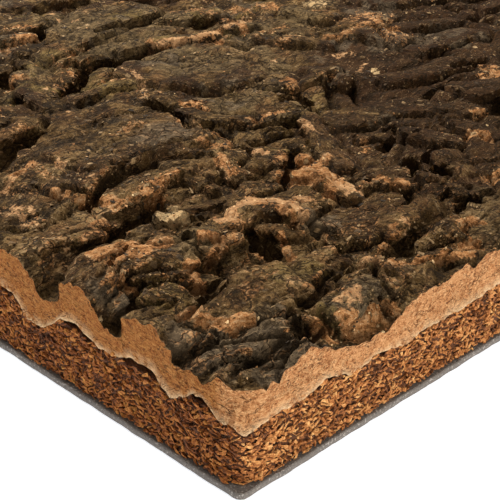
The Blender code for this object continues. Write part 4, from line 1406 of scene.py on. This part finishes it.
class Finish:
    """A Principled material, with short ways to lay out the nodes that colour it."""

    def __init__(self, name, roughness, gloss=0.5):
        self.material = bpy.data.materials.new(name)
        self.material.use_nodes = True
        self.tree = self.material.node_tree
        self.shader = self.tree.nodes["Principled BSDF"]
        self.shader.inputs["Roughness"].default_value = roughness
        self.shader.inputs["Specular IOR Level"].default_value = gloss
        self.place = self.node("ShaderNodeTexCoord").outputs["Object"]

    def node(self, kind, **settings):
        """A new node with its settings."""
        made = self.tree.nodes.new(kind)
        for key, value in settings.items():
            setattr(made, key, value)
        return made

    def feed(self, value, socket):
        """Links a socket, or sets a plain number or colour."""
        if isinstance(value, bpy.types.NodeSocket):
            self.tree.links.new(value, socket)
        elif hasattr(value, "__len__"):
            socket.default_value = (*value[:3], 1.0)
        else:
            socket.default_value = value

    def turned(self, turn, stretch):
        """Object places, turned in degrees and then stretched."""
        made = self.node("ShaderNodeMapping", vector_type="TEXTURE")
        made.inputs["Rotation"].default_value = [math.radians(angle) for angle in turn]
        made.inputs["Scale"].default_value = stretch
        self.feed(self.place, made.inputs["Vector"])
        return made.outputs[0]

    def split(self, place):
        """The three parts of a place."""
        made = self.node("ShaderNodeSeparateXYZ")
        self.feed(place, made.inputs[0])
        return made.outputs

    def speckle(self, size, detail=3.0, rough=0.6, where=None, twist=0.0):
        """Noise with bumps about size millimetres across."""
        made = self.node("ShaderNodeTexNoise")
        self.feed(where or self.place, made.inputs["Vector"])
        made.inputs["Scale"].default_value = 1.0 / (size * MM)
        made.inputs["Detail"].default_value = detail
        made.inputs["Roughness"].default_value = rough
        made.inputs["Distortion"].default_value = twist
        return made.outputs[0]

    def cells(self, size, where):
        """Distance to the edges of cells about size millimetres across."""
        made = self.node("ShaderNodeTexVoronoi", feature="DISTANCE_TO_EDGE")
        self.feed(where, made.inputs["Vector"])
        made.inputs["Scale"].default_value = 1.0 / (size * MM)
        return made.outputs["Distance"]

    def wandered(self, size, reach, where):
        """Places moved about by a noise, at most about reach millimetres."""
        drift = self.node("ShaderNodeTexNoise")
        self.feed(self.place, drift.inputs["Vector"])
        drift.inputs["Scale"].default_value = 1.0 / (size * MM)
        moved = self.node("ShaderNodeVectorMath", operation="MULTIPLY_ADD")
        self.feed(drift.outputs["Color"], moved.inputs[0])
        moved.inputs[1].default_value = (reach * MM,) * 3
        self.feed(where, moved.inputs[2])
        return moved.outputs[0]

    def kept(self, name):
        """A number that the mesh keeps for each vertex."""
        return self.node("ShaderNodeAttribute", attribute_name=name).outputs["Fac"]

    def sum(self, a, b, operation="ADD", clamp=False):
        """Two values added up, or put together by another operation."""
        made = self.node("ShaderNodeMath", operation=operation, use_clamp=clamp)
        self.feed(a, made.inputs[0])
        self.feed(b, made.inputs[1])
        return made.outputs[0]

    def total(self, first, *others):
        """Values added up."""
        for other in others:
            first = self.sum(first, other)
        return first

    def times(self, a, b):
        """One value times another."""
        return self.sum(a, b, "MULTIPLY")

    def most(self, a, b):
        """The greater of two values."""
        return self.sum(a, b, "MAXIMUM")

    def rest(self, value, share=1.0):
        """What is left of one without a share of a value."""
        return self.sum(1.0, self.times(value, -share))

    def weighed(self, *parts):
        """Values times their weights, added up."""
        return self.total(*(self.times(value, weight) for value, weight in parts))

    def swing(self, *parts):
        """Noises about their middles, times their weights, added up."""
        return self.weighed(*((self.sum(value, 0.5, "SUBTRACT"), weight) for value, weight in parts))

    def step(self, value, low, high):
        """0 below low, 1 above high and smooth between."""
        made = self.node("ShaderNodeMapRange", interpolation_type="SMOOTHSTEP")
        self.feed(value, made.inputs["Value"])
        made.inputs["From Min"].default_value = low
        made.inputs["From Max"].default_value = high
        return made.outputs["Result"]

    def thin_line(self, value, width):
        """1 along the wandering lines where a noise passes its middle."""
        away = self.sum(self.sum(value, 0.5, "SUBTRACT"), 0.0, "ABSOLUTE")
        return self.rest(self.step(away, width * 0.3, width))

    def mix(self, share, under, over, blend="MIX"):
        """A share of one colour laid over another."""
        made = self.node("ShaderNodeMix", data_type="RGBA", blend_type=blend)
        self.feed(share, made.inputs[0])
        self.feed(under, made.inputs[6])
        self.feed(over, made.inputs[7])
        return made.outputs[2]

    def tinted(self, shade, colour):
        """A shade times a colour."""
        return self.mix(1.0, shade, colour, "MULTIPLY")

    def ramp(self, value, *stops):
        """Colours in order along a value."""
        made = self.node("ShaderNodeValToRGB")
        elements = made.color_ramp.elements
        while len(elements) < len(stops):
            elements.new(0.5)
        for element, (place, colour) in zip(elements, stops):
            element.position = place
            element.color = (*colour[:3], 1.0)
        self.feed(value, made.inputs[0])
        return made.outputs[0]

    def finish(self, colour, height, depth, strength=1.0):
        """Sets the colour and a bump whose height is in millimetres."""
        self.feed(colour, self.shader.inputs["Base Color"])
        bump = self.node("ShaderNodeBump")
        bump.inputs["Strength"].default_value = strength
        bump.inputs["Distance"].default_value = depth * MM
        self.feed(height, bump.inputs["Height"])
        self.feed(bump.outputs[0], self.shader.inputs["Normal"])
        return self.material


class BarkFinish(Finish):
    """Weathered skin, its coloured patches, and the pale cork of the sawn faces."""

    def __init__(self, colours):
        super().__init__("weathered_virgin_cork", roughness=0.86, gloss=0.08)
        self.colours = colours
        self.finest = self.speckle(0.4, 3.0, 0.75)
        self.fine = self.speckle(1.1, 5.0, 0.75)
        self.middling = self.speckle(3.2, 5.0, 0.66, twist=0.4)
        self.broad = self.speckle(16.0, 3.0, 0.55)
        x, y, z = self.split(self.place)
        flow = self.node("ShaderNodeCombineXYZ")
        for value, share, socket in zip((self.kept("across"), y, z), (MM, *FIBRE_STRETCH), flow.inputs):
            self.feed(self.times(value, share), socket)
        self.grain = self.speckle(0.7, 4.0, 0.7, flow.outputs[0], 0.5)
        self.folds = self.speckle(2.2, 3.0, 0.6, flow.outputs[0], 0.6)
        self.mottle = self.swing((self.fine, 0.7), (self.finest, 0.7), (self.grain, 0.9), (self.folds, 0.7))
        self.ragged = self.swing((self.middling, 1.9), (self.fine, 1.6))
        self.plain = self.most(self.kept("grey"), self.times(self.kept("umber"), 0.7))
        frayed_from, frayed_by = ((SIDE - reach) * MM for reach in FRAYED_REACH)
        self.near_corner = self.step(self.sum(x, y, "SUBTRACT"), frayed_from, frayed_by)

    def cracks(self, edges, loose):
        """Thin cracks of the skin, which broken cork shows hardly any of."""
        contour = self.speckle(7.0, 3.0, 0.6, self.turned((0, 0, 6), (1.0, 2.4, 1.0)), 0.5)
        crossing = self.speckle(5.0, 3.0, 0.6, self.turned((0, 0, 30), (1.6, 1.0, 1.0)), 0.3)
        along = self.times(self.thin_line(contour, 0.035), self.step(self.middling, 0.47, 0.57))
        across = self.times(self.thin_line(crossing, 0.03), self.step(self.broad, 0.46, 0.56))
        parted = self.times(self.rest(self.step(edges, 0.012, 0.04)), loose)
        bared = self.sum(self.kept("ochre"), self.kept("tan"), clamp=True)
        return self.times(self.most(self.most(along, across), parted), self.rest(bared, 0.95))

    def frayed(self, edges, loose):
        """Pale frayed edges of the loose plates, whole in the near corner only."""
        near_edges = self.times(self.rest(self.step(edges, 0.05, 0.11)), loose)
        bits = self.step(self.weighed((self.fine, 1.0), (self.middling, 0.6)), 0.78, 0.88)
        where = self.times(self.near_corner, self.rest(self.plain, 0.8))
        return self.times(self.times(near_edges, bits), where)

    def broken_rims(self):
        """Where the rims and brows of the relief are broken down to paler cork."""
        where_rim = self.step(self.weighed((self.broad, 1.0), (self.middling, 0.6)), 0.66, 0.95)
        where_brow = self.step(self.weighed((self.broad, 1.0), (self.middling, 0.5)), 0.62, 0.85)
        rim = self.times(self.kept("rim"), where_rim)
        brow = self.times(self.times(self.kept("brow"), where_brow), 1.3)
        rim = self.times(self.most(rim, brow), self.rest(self.plain, 0.9))
        return self.step(self.sum(rim, self.swing((self.fine, 0.9))), 0.5, 0.85)

    def patch(self, under, name, colour, strength, low, high):
        """A patch's colour over what lies under it, with a ragged edge."""
        mask = self.step(self.sum(self.kept(name), self.ragged), low, high)
        there = self.step(self.kept(name), 0.02, 0.12)
        return self.mix(self.times(self.times(mask, there), strength), under, colour)

    def skin(self, cracks, frayed):
        """The colour of the weathered face."""
        colours = self.colours
        tone = self.total(
            self.weighed((self.kept("tone"), 0.3), (self.middling, 0.75)), self.swing((self.broad, 0.4)),
            self.mottle,
        )
        skin = self.ramp(
            tone, (0.1, colours.skin_dark), (0.38, colours.skin), (0.58, colours.skin_light),
            (0.8, colours.skin_pale),
        )
        warmth = self.sum(self.speckle(11.0, 4.0, 0.6), self.swing((self.middling, 0.5)))
        warm = self.ramp(tone, (0.2, colours.umber_skin), (0.75, colours.warm_skin))
        skin = self.mix(self.times(self.step(warmth, 0.46, 0.66), 0.7), skin, warm)
        shade = self.ramp(self.sum(self.mottle, 0.5), (0.2, (0.35, 0.35, 0.35)), (0.75, (1.5, 1.45, 1.4)))
        for name, colour, strength, high in (
            ("grey", colours.grey_skin, 0.7, 0.9), ("moss", colours.olive_skin, 0.7, 0.9),
            ("umber", colours.umber_skin, 0.9, 0.8), ("char", colours.charred_skin, 0.85, 0.8),
        ):
            skin = self.patch(skin, name, self.tinted(shade, colour), strength, 0.2, high)
        flecks = self.step(self.weighed((self.grain, 1.0), (self.finest, 0.6)), 0.9, 0.99)
        skin = self.mix(self.times(flecks, 0.5), skin, colours.fleck)
        inner = self.ramp(
            self.weighed((self.mottle, 0.9), (self.middling, 0.9)), (0.2, colours.skin),
            (0.34, colours.ochre_dark), (0.48, colours.ochre), (0.92, colours.tan),
        )
        skin = self.mix(self.times(self.broken_rims(), 0.85), skin, inner)
        skin = self.patch(skin, "ochre", inner, 1.0, 0.38, 0.62)
        skin = self.patch(skin, "tan", self.mix(0.25, inner, colours.tan), 1.0, 0.34, 0.6)
        skin = self.patch(skin, "pale", self.mix(0.5, inner, colours.pale), 0.9, 0.15, 0.45)
        skin = self.mix(self.times(frayed, 0.75), skin, inner)
        # Painted shade: in the valleys the colour goes back towards the plain, darker skin
        skin = self.mix(self.times(self.kept("valley"), 0.6), skin, self.tinted(shade, colours.skin))
        # Painted shade and dirt: hollows, cracks and narrow fissures take the dark fissure colour
        dark = self.most(self.times(self.kept("hollow"), 0.35), self.times(self.kept("crack"), 0.8))
        return self.mix(self.times(self.most(dark, cracks), 0.85), skin, colours.fissure_dirt_and_shade)

    def sawn(self):
        """The colour of the sawn faces: fibres, pores and slits, a painted highlight along the lower edge,
        and painted shade on the front cut.
        """
        colours = self.colours
        fibre = self.turned((0, 12, 0), (2.6, 2.0, 1.0))
        streak = self.speckle(0.6, 4.0, 0.75, fibre, 0.3)
        long_streak = self.speckle(1.3, 4.0, 0.7, fibre, 0.4)
        tone = self.total(
            self.weighed((streak, 0.9), (long_streak, 0.5)), -0.2,
            self.swing((self.finest, 0.7), (self.fine, 0.5), (self.middling, 0.3)),
        )
        sawn = self.ramp(tone, (0.26, colours.sawn_dark), (0.44, colours.sawn), (0.68, colours.sawn_pale))
        # Painted shade: the front cut is darkened by the front shade colour
        sawn = self.mix(self.kept("front_cut"), sawn, self.tinted(sawn, colours.front_shade))
        pores = self.step(self.speckle(0.8, 3.0, 0.7, fibre), 0.59, 0.65)
        slits = self.thin_line(self.speckle(4.0, 3.0, 0.6, fibre, 0.6), 0.016)
        slits = self.times(slits, self.step(self.middling, 0.46, 0.52))
        sawn = self.mix(self.times(self.most(pores, slits), 0.85), sawn, colours.pore)
        # Painted highlight: a pale line along the lower edge of the cuts
        pale = self.times(self.kept("lower_edge"), self.step(self.middling, 0.34, 0.55))
        return self.mix(pale, sawn, colours.lower_edge)


def bark_finish(colours):
    """The bark's finish: its skin, and its sawn faces up to a ragged edge between the two."""
    make = BarkFinish(colours)
    loose = make.step(make.speckle(12.0, 2.0, 0.5), 0.42, 0.5)
    edges = make.cells(9.0, make.wandered(6.0, 9.0, make.turned((0, 0, 4), (1.0, 1.7, 1.0))))
    cracks = make.cracks(edges, loose)
    skin = make.skin(cracks, make.frayed(edges, loose))
    crust = make.sum(make.kept("sawn"), make.swing((make.middling, 0.8)))
    whole = make.mix(make.step(crust, 0.45, 0.55), skin, make.sawn())
    flowing = make.weighed((make.grain, 0.6), (make.folds, 0.45))
    height = make.weighed(
        (make.fine, 0.85), (make.middling, 0.4), (flowing, make.rest(make.kept("sawn"))),
        (make.finest, 0.5), (cracks, -0.6),
    )
    return make.finish(whole, make.times(height, make.rest(make.kept("sawn"), 0.2)), depth=1.6)


def granule_finish(colours):
    """Pressed granules, each with a tone of its own, and painted shade on every side but the right."""
    make = Finish("pressed_cork_granules", roughness=0.84, gloss=0.3)
    fine = make.speckle(0.5, 3.0, 0.6)
    broad = make.speckle(3.6, 3.0, 0.6)
    tone = make.total(make.times(make.kept("tone"), 0.45), make.swing((fine, 1.4), (broad, 1.5)), 0.3)
    colour = make.ramp(
        tone, (0.0, colours.binder), (0.22, colours.granule_dark), (0.5, colours.granule),
        (0.8, colours.granule_light), (1.0, colours.granule_pale),
    )
    right_from, right_by = ((SIDE / 2 - reach) * MM for reach in RIGHT_SIDE_REACH)
    right_side = make.step(make.split(make.place)[0], right_from, right_by)
    # Painted shade: the granules on every side but the right are darkened by the front shade colour
    shaded_granules = make.tinted(colour, colours.front_shade)
    return make.finish(make.mix(right_side, shaded_granules, colour), fine, depth=0.8)


def board_finish(colours):
    """The dark binder and fines between the granules."""
    make = Finish("pressed_cork_fines", roughness=0.9)
    fine = make.speckle(0.9, 4.0, 0.65)
    colour = make.ramp(fine, (0.35, colours.binder), (0.65, colours.granule_dark))
    return make.finish(colour, fine, depth=1.2)


def sheet_finish(colours):
    """Dark grey backing with paler specks."""
    make = Finish("grey_backing", roughness=0.8)
    fine = make.speckle(0.45, 2.0, 0.7)
    specks = make.step(make.speckle(0.6, 1.0, 0.5), 0.60, 0.68)
    colour = make.ramp(fine, (0.3, colours.sheet_dark), (0.7, colours.sheet))
    colour = make.mix(make.times(specks, 0.6), colour, colours.sheet_speck)
    return make.finish(colour, fine, depth=0.25, strength=0.8)


def flake_finish(name, dark, middle, light):
    """Loose bits of the skin or of broken cork, each with a tone of its own."""
    make = Finish(name, roughness=0.86, gloss=0.28)
    fine = make.speckle(0.8, 4.0, 0.65)
    tone = make.sum(make.times(make.kept("tone"), 0.8), make.swing((fine, 0.9)))
    colour = make.ramp(tone, (0.05, dark), (0.5, middle), (0.95, light))
    return make.finish(colour, fine, depth=0.7, strength=0.9)


def floor_finish():
    """A plain pale floor that glows a little, as a lit studio table does."""
    make = Finish("pale_floor", roughness=0.9)
    make.feed(FLOOR_COLOUR, make.shader.inputs["Base Color"])
    make.feed(FLOOR_COLOUR, make.shader.inputs["Emission Color"])
    make.feed(FLOOR_GLOW, make.shader.inputs["Emission Strength"])
    return make.material


def colour_property(name, value, description):
    """A colour that a user may change."""
    return FloatVectorProperty(
        name=name, description=description, default=value, subtype="COLOR", size=3, min=0.0, max=2.0
    )


class CorkSizes(bpy.types.PropertyGroup):
    """Sizes and counts of the tile's finer shapes."""

    relief_cells: IntProperty(
        name="Relief cells", description="Cells across the weathered face, each way",
        default=282, min=40, max=296,
    )
    sharp_angle: FloatProperty(
        name="Sharp angle", description="Edges sharper than this are broken, not rounded, in degrees",
        default=30.0, min=10.0, max=180.0,
    )
    granule_least: FloatProperty(
        name="Least granule", description="Least size of the board's granules, in millimetres",
        default=0.9, min=0.3,
    )
    granule_greatest: FloatProperty(
        name="Greatest granule", description="Greatest size of the board's granules, in millimetres",
        default=4.4, min=0.5,
    )
    granule_spacing: FloatProperty(
        name="Granule spacing", description="Least distance between granules, in millimetres",
        default=1.0, min=0.4,
    )
    flake_spacing: FloatProperty(
        name="Flake spacing", description="Least distance between loose flakes, in millimetres",
        default=3.2, min=0.5,
    )
    crumb_spacing: FloatProperty(
        name="Crumb spacing", description="Least distance between crumbs, in millimetres",
        default=1.7, min=0.3,
    )


class CorkColours(bpy.types.PropertyGroup):
    """Colours of the bark, the board and the sheet."""

    skin_dark: colour_property("Skin, dark", (0.018, 0.0098, 0.003), "Darkest weathered skin")
    skin: colour_property("Skin", (0.108, 0.059, 0.0185), "Weathered skin")
    skin_light: colour_property("Skin, light", (0.238, 0.147, 0.06), "Lighter weathered skin")
    skin_pale: colour_property("Skin, pale", (0.41, 0.27, 0.132), "Palest weathered skin")
    grey_skin: colour_property("Grey skin", (0.165, 0.115, 0.055), "Smooth grey plates")
    warm_skin: colour_property("Warm skin", (0.3, 0.145, 0.052), "Red-brown skin")
    olive_skin: colour_property("Olive skin", (0.17, 0.115, 0.036), "Olive plates")
    # Umber is the bare slopes' own brown, and at the back of the tile painted shade
    umber_skin: colour_property("Umber skin and painted shade", (0.042, 0.018, 0.0055), "Bare brown slopes, and painted shade at the back")
    charred_skin: colour_property("Charcoal skin", (0.135, 0.099, 0.061), "Near-black plates")
    fleck: colour_property("Flecks", (0.45, 0.31, 0.17), "Small pale flecks of the skin")
    # Dirt and painted shade: the colour of the hollows, cracks and narrow fissures
    fissure_dirt_and_shade: colour_property("Fissures", (0.02, 0.0105, 0.003), "Dirt and painted shade in the fissures")
    ochre_dark: colour_property("Ochre, dark", (0.23, 0.09, 0.028), "Deep tone of broken cork")
    ochre: colour_property("Ochre", (0.5, 0.232, 0.084), "Broken cork")
    tan: colour_property("Tan", (0.78, 0.53, 0.295), "Fresh broken rims")
    pale: colour_property("Pale", (0.86, 0.67, 0.36), "Palest crumbs and resin")
    sawn_dark: colour_property("Sawn, dark", (0.19, 0.062, 0.019), "Dark streaks of the sawn faces")
    sawn: colour_property("Sawn", (0.52, 0.222, 0.083), "The sawn faces")
    sawn_pale: colour_property("Sawn, pale", (0.78, 0.435, 0.2), "Pale streaks of the sawn faces")
    # Painted shade that darkens the front cut, and the board on every side but the right
    front_shade: colour_property("Front shade", (0.67, 0.55, 0.355), "How much darker the front cut is")
    pore: colour_property("Pores", (0.11, 0.038, 0.013), "Pores of the sawn faces")
    # A painted highlight: the pale line along the bark's lower cut edge
    lower_edge: colour_property("Lower edge", (0.85, 0.58, 0.33), "Painted highlight along the bark's lower edge")
    granule_dark: colour_property("Granule, dark", (0.165, 0.054, 0.0145), "Darkest granules")
    granule: colour_property("Granule", (0.46, 0.165, 0.042), "Granules")
    granule_light: colour_property("Granule, light", (0.68, 0.315, 0.1), "Lighter granules")
    granule_pale: colour_property("Granule, pale", (0.82, 0.46, 0.17), "Palest granules")
    binder: colour_property("Binder", (0.06, 0.022, 0.0065), "Fines between the granules")
    sheet_dark: colour_property("Sheet, dark", (0.085, 0.075, 0.067), "Dark tone of the backing sheet")
    sheet: colour_property("Sheet", (0.215, 0.188, 0.165), "The backing sheet")
    sheet_speck: colour_property("Sheet specks", (0.5, 0.46, 0.42), "Specks in the backing sheet")


class CORK_OT_bark(bpy.types.Operator):
    """Makes the weathered slab of bark"""

    bl_idname = "cork.bark"
    bl_label = "Weathered bark"

    def execute(self, context):
        scene = context.scene
        bark = add_piece("weathered_bark", bark_mesh(scene.cork_sizes), bark_finish(scene.cork_colours))
        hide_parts("bark_slab")
        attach(bark, "root")
        return {"FINISHED"}


class CORK_OT_flakes(bpy.types.Operator):
    """Sets loose flakes and crumbs on the bark"""

    bl_idname = "cork.flakes"
    bl_label = "Flakes and crumbs"

    def execute(self, context):
        sizes, colours = context.scene.cork_sizes, context.scene.cork_colours
        bark = bpy.data.objects["weathered_bark"].data
        forms = {name: chip_forms(name) for name in ("flakes", "crumbs")}
        dark = flake_finish("loose_skin_flakes", colours.skin_dark, colours.skin, colours.skin_pale)
        light = flake_finish("cork_crumbs", colours.ochre_dark, colours.ochre, colours.pale)
        for name, chips, share, least, greatest, sink, lean, seed in LOOSE_BITS:
            spacing = sizes.flake_spacing if chips == "flakes" else sizes.crumb_spacing
            finish = light if name == "pale_crumbs" else dark
            piece = scatter(
                name, bark, finish, spacing, LOOSE_CROWDING, Chips=forms[chips], Share=share,
                Least=least * MM, Greatest=greatest * MM, Sink=sink * MM, Spin=LOOSE_SPIN, Lean=lean,
                Seed=seed,
            )
            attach(piece, "root")
        for chips in forms.values():
            clear_forms(chips)
        return {"FINISHED"}


class CORK_OT_board(bpy.types.Operator):
    """Makes the pressed board and sets its granules"""

    bl_idname = "cork.board"
    bl_label = "Pressed board"

    def execute(self, context):
        sizes, colours = context.scene.cork_sizes, context.scene.cork_colours
        board = add_piece("board_fines", board_mesh(sizes), board_finish(colours))
        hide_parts("pressed_cork_board")
        granules = chip_forms("granules")
        chips = scatter(
            "board_granules", granule_bed(sizes), granule_finish(colours), sizes.granule_spacing,
            GRANULE_CROWDING, Chips=granules, Share="share", Least=sizes.granule_least * MM,
            Greatest=sizes.granule_greatest * MM, Sink=GRANULE_SINK * MM, Spin=GRANULE_SPIN,
            Lean=GRANULE_LEAN, Seed=GRANULE_SEED,
        )
        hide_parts("pressed_cork_board")
        for piece in (board, chips):
            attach(piece, "root")
        clear_forms(granules)
        return {"FINISHED"}


class CORK_OT_sheet(bpy.types.Operator):
    """Makes the backing sheet"""

    bl_idname = "cork.sheet"
    bl_label = "Backing sheet"

    def execute(self, context):
        scene = context.scene
        sheet = add_piece("grey_sheet", sheet_mesh(scene.cork_sizes), sheet_finish(scene.cork_colours))
        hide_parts("backing_sheet")
        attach(sheet, "root")
        return {"FINISHED"}


def aimed(name, data, place, ahead):
    """A light or a camera at a place, turned to look ahead."""
    holder = bpy.data.objects.new(name, data)
    holder.location = place
    holder.rotation_mode = "QUATERNION"
    holder.rotation_quaternion = ahead.to_track_quat("-Z", "Y")
    bpy.context.scene.collection.objects.link(holder)
    return holder


class CORK_OT_stage(bpy.types.Operator):
    """Makes the floor, the lights and the camera"""

    bl_idname = "cork.stage"
    bl_label = "Floor, lights and camera"

    def execute(self, context):
        scene = context.scene
        floor_mesh = bpy.data.meshes.new("floor")
        bm = bmesh.new()
        bmesh.ops.create_grid(bm, x_segments=1, y_segments=1, size=FLOOR_SIZE / 2)
        bmesh.ops.translate(bm, vec=(0.0, 0.0, -FLOOR_DROP), verts=bm.verts)
        bm.to_mesh(floor_mesh)
        bm.free()
        floor = add_piece("floor", floor_mesh, floor_finish())
        world = bpy.data.worlds.new("Soft studio")
        world.use_nodes = True
        background = world.node_tree.nodes["Background"].inputs
        background["Color"].default_value = (*WORLD_COLOUR, 1.0)
        background["Strength"].default_value = WORLD_STRENGTH
        scene.world = world
        for name, place, target, size, power, colour in LIGHTS:
            light = bpy.data.lights.new(name, "AREA")
            light.shape = "SQUARE"
            light.size = size
            light.energy = power
            light.color = colour
            aimed(name, light, place, Vector(target) - Vector(place))
        lens = bpy.data.cameras.new("camera")
        lens.lens = CAMERA_LENS
        lens.clip_start, lens.clip_end = CAMERA_SIGHT
        azimuth, elevation = math.radians(CAMERA_AZIMUTH), math.radians(CAMERA_ELEVATION)
        ahead = Vector((
            -math.sin(azimuth) * math.cos(elevation), math.cos(azimuth) * math.cos(elevation),
            -math.sin(elevation),
        ))
        scene.camera = aimed("camera", lens, CAMERA_PLACE, ahead)
        scene.view_settings.view_transform = "Standard"
        return {"FINISHED"}


class CORK_PT_tile(bpy.types.Panel):
    """Lists the steps that make the tile, and its sizes and colours"""

    bl_idname = "CORK_PT_tile"
    bl_label = "Cork bark slab"
    bl_space_type = "VIEW_3D"
    bl_region_type = "UI"
    bl_category = "Cork"

    def draw(self, context):
        for operator in STEPS:
            self.layout.operator(operator.bl_idname)
        for group in (context.scene.cork_sizes, context.scene.cork_colours):
            for name in group.__annotations__:
                self.layout.prop(group, name)


STEPS = (CORK_OT_bark, CORK_OT_flakes, CORK_OT_board, CORK_OT_sheet, CORK_OT_stage)
CLASSES = (CorkSizes, CorkColours, *STEPS, CORK_PT_tile)


def register():
    for item in CLASSES:
        bpy.utils.register_class(item)
    bpy.types.Scene.cork_sizes = PointerProperty(type=CorkSizes)
    bpy.types.Scene.cork_colours = PointerProperty(type=CorkColours)


def unregister():
    del bpy.types.Scene.cork_colours
    del bpy.types.Scene.cork_sizes
    for item in reversed(CLASSES):
        bpy.utils.unregister_class(item)


def main():
    register()
    bpy.ops.cork.bark()
    bpy.ops.cork.flakes()
    bpy.ops.cork.board()
    bpy.ops.cork.sheet()
    bpy.ops.cork.stage()


if __name__ == "__main__":
    main()
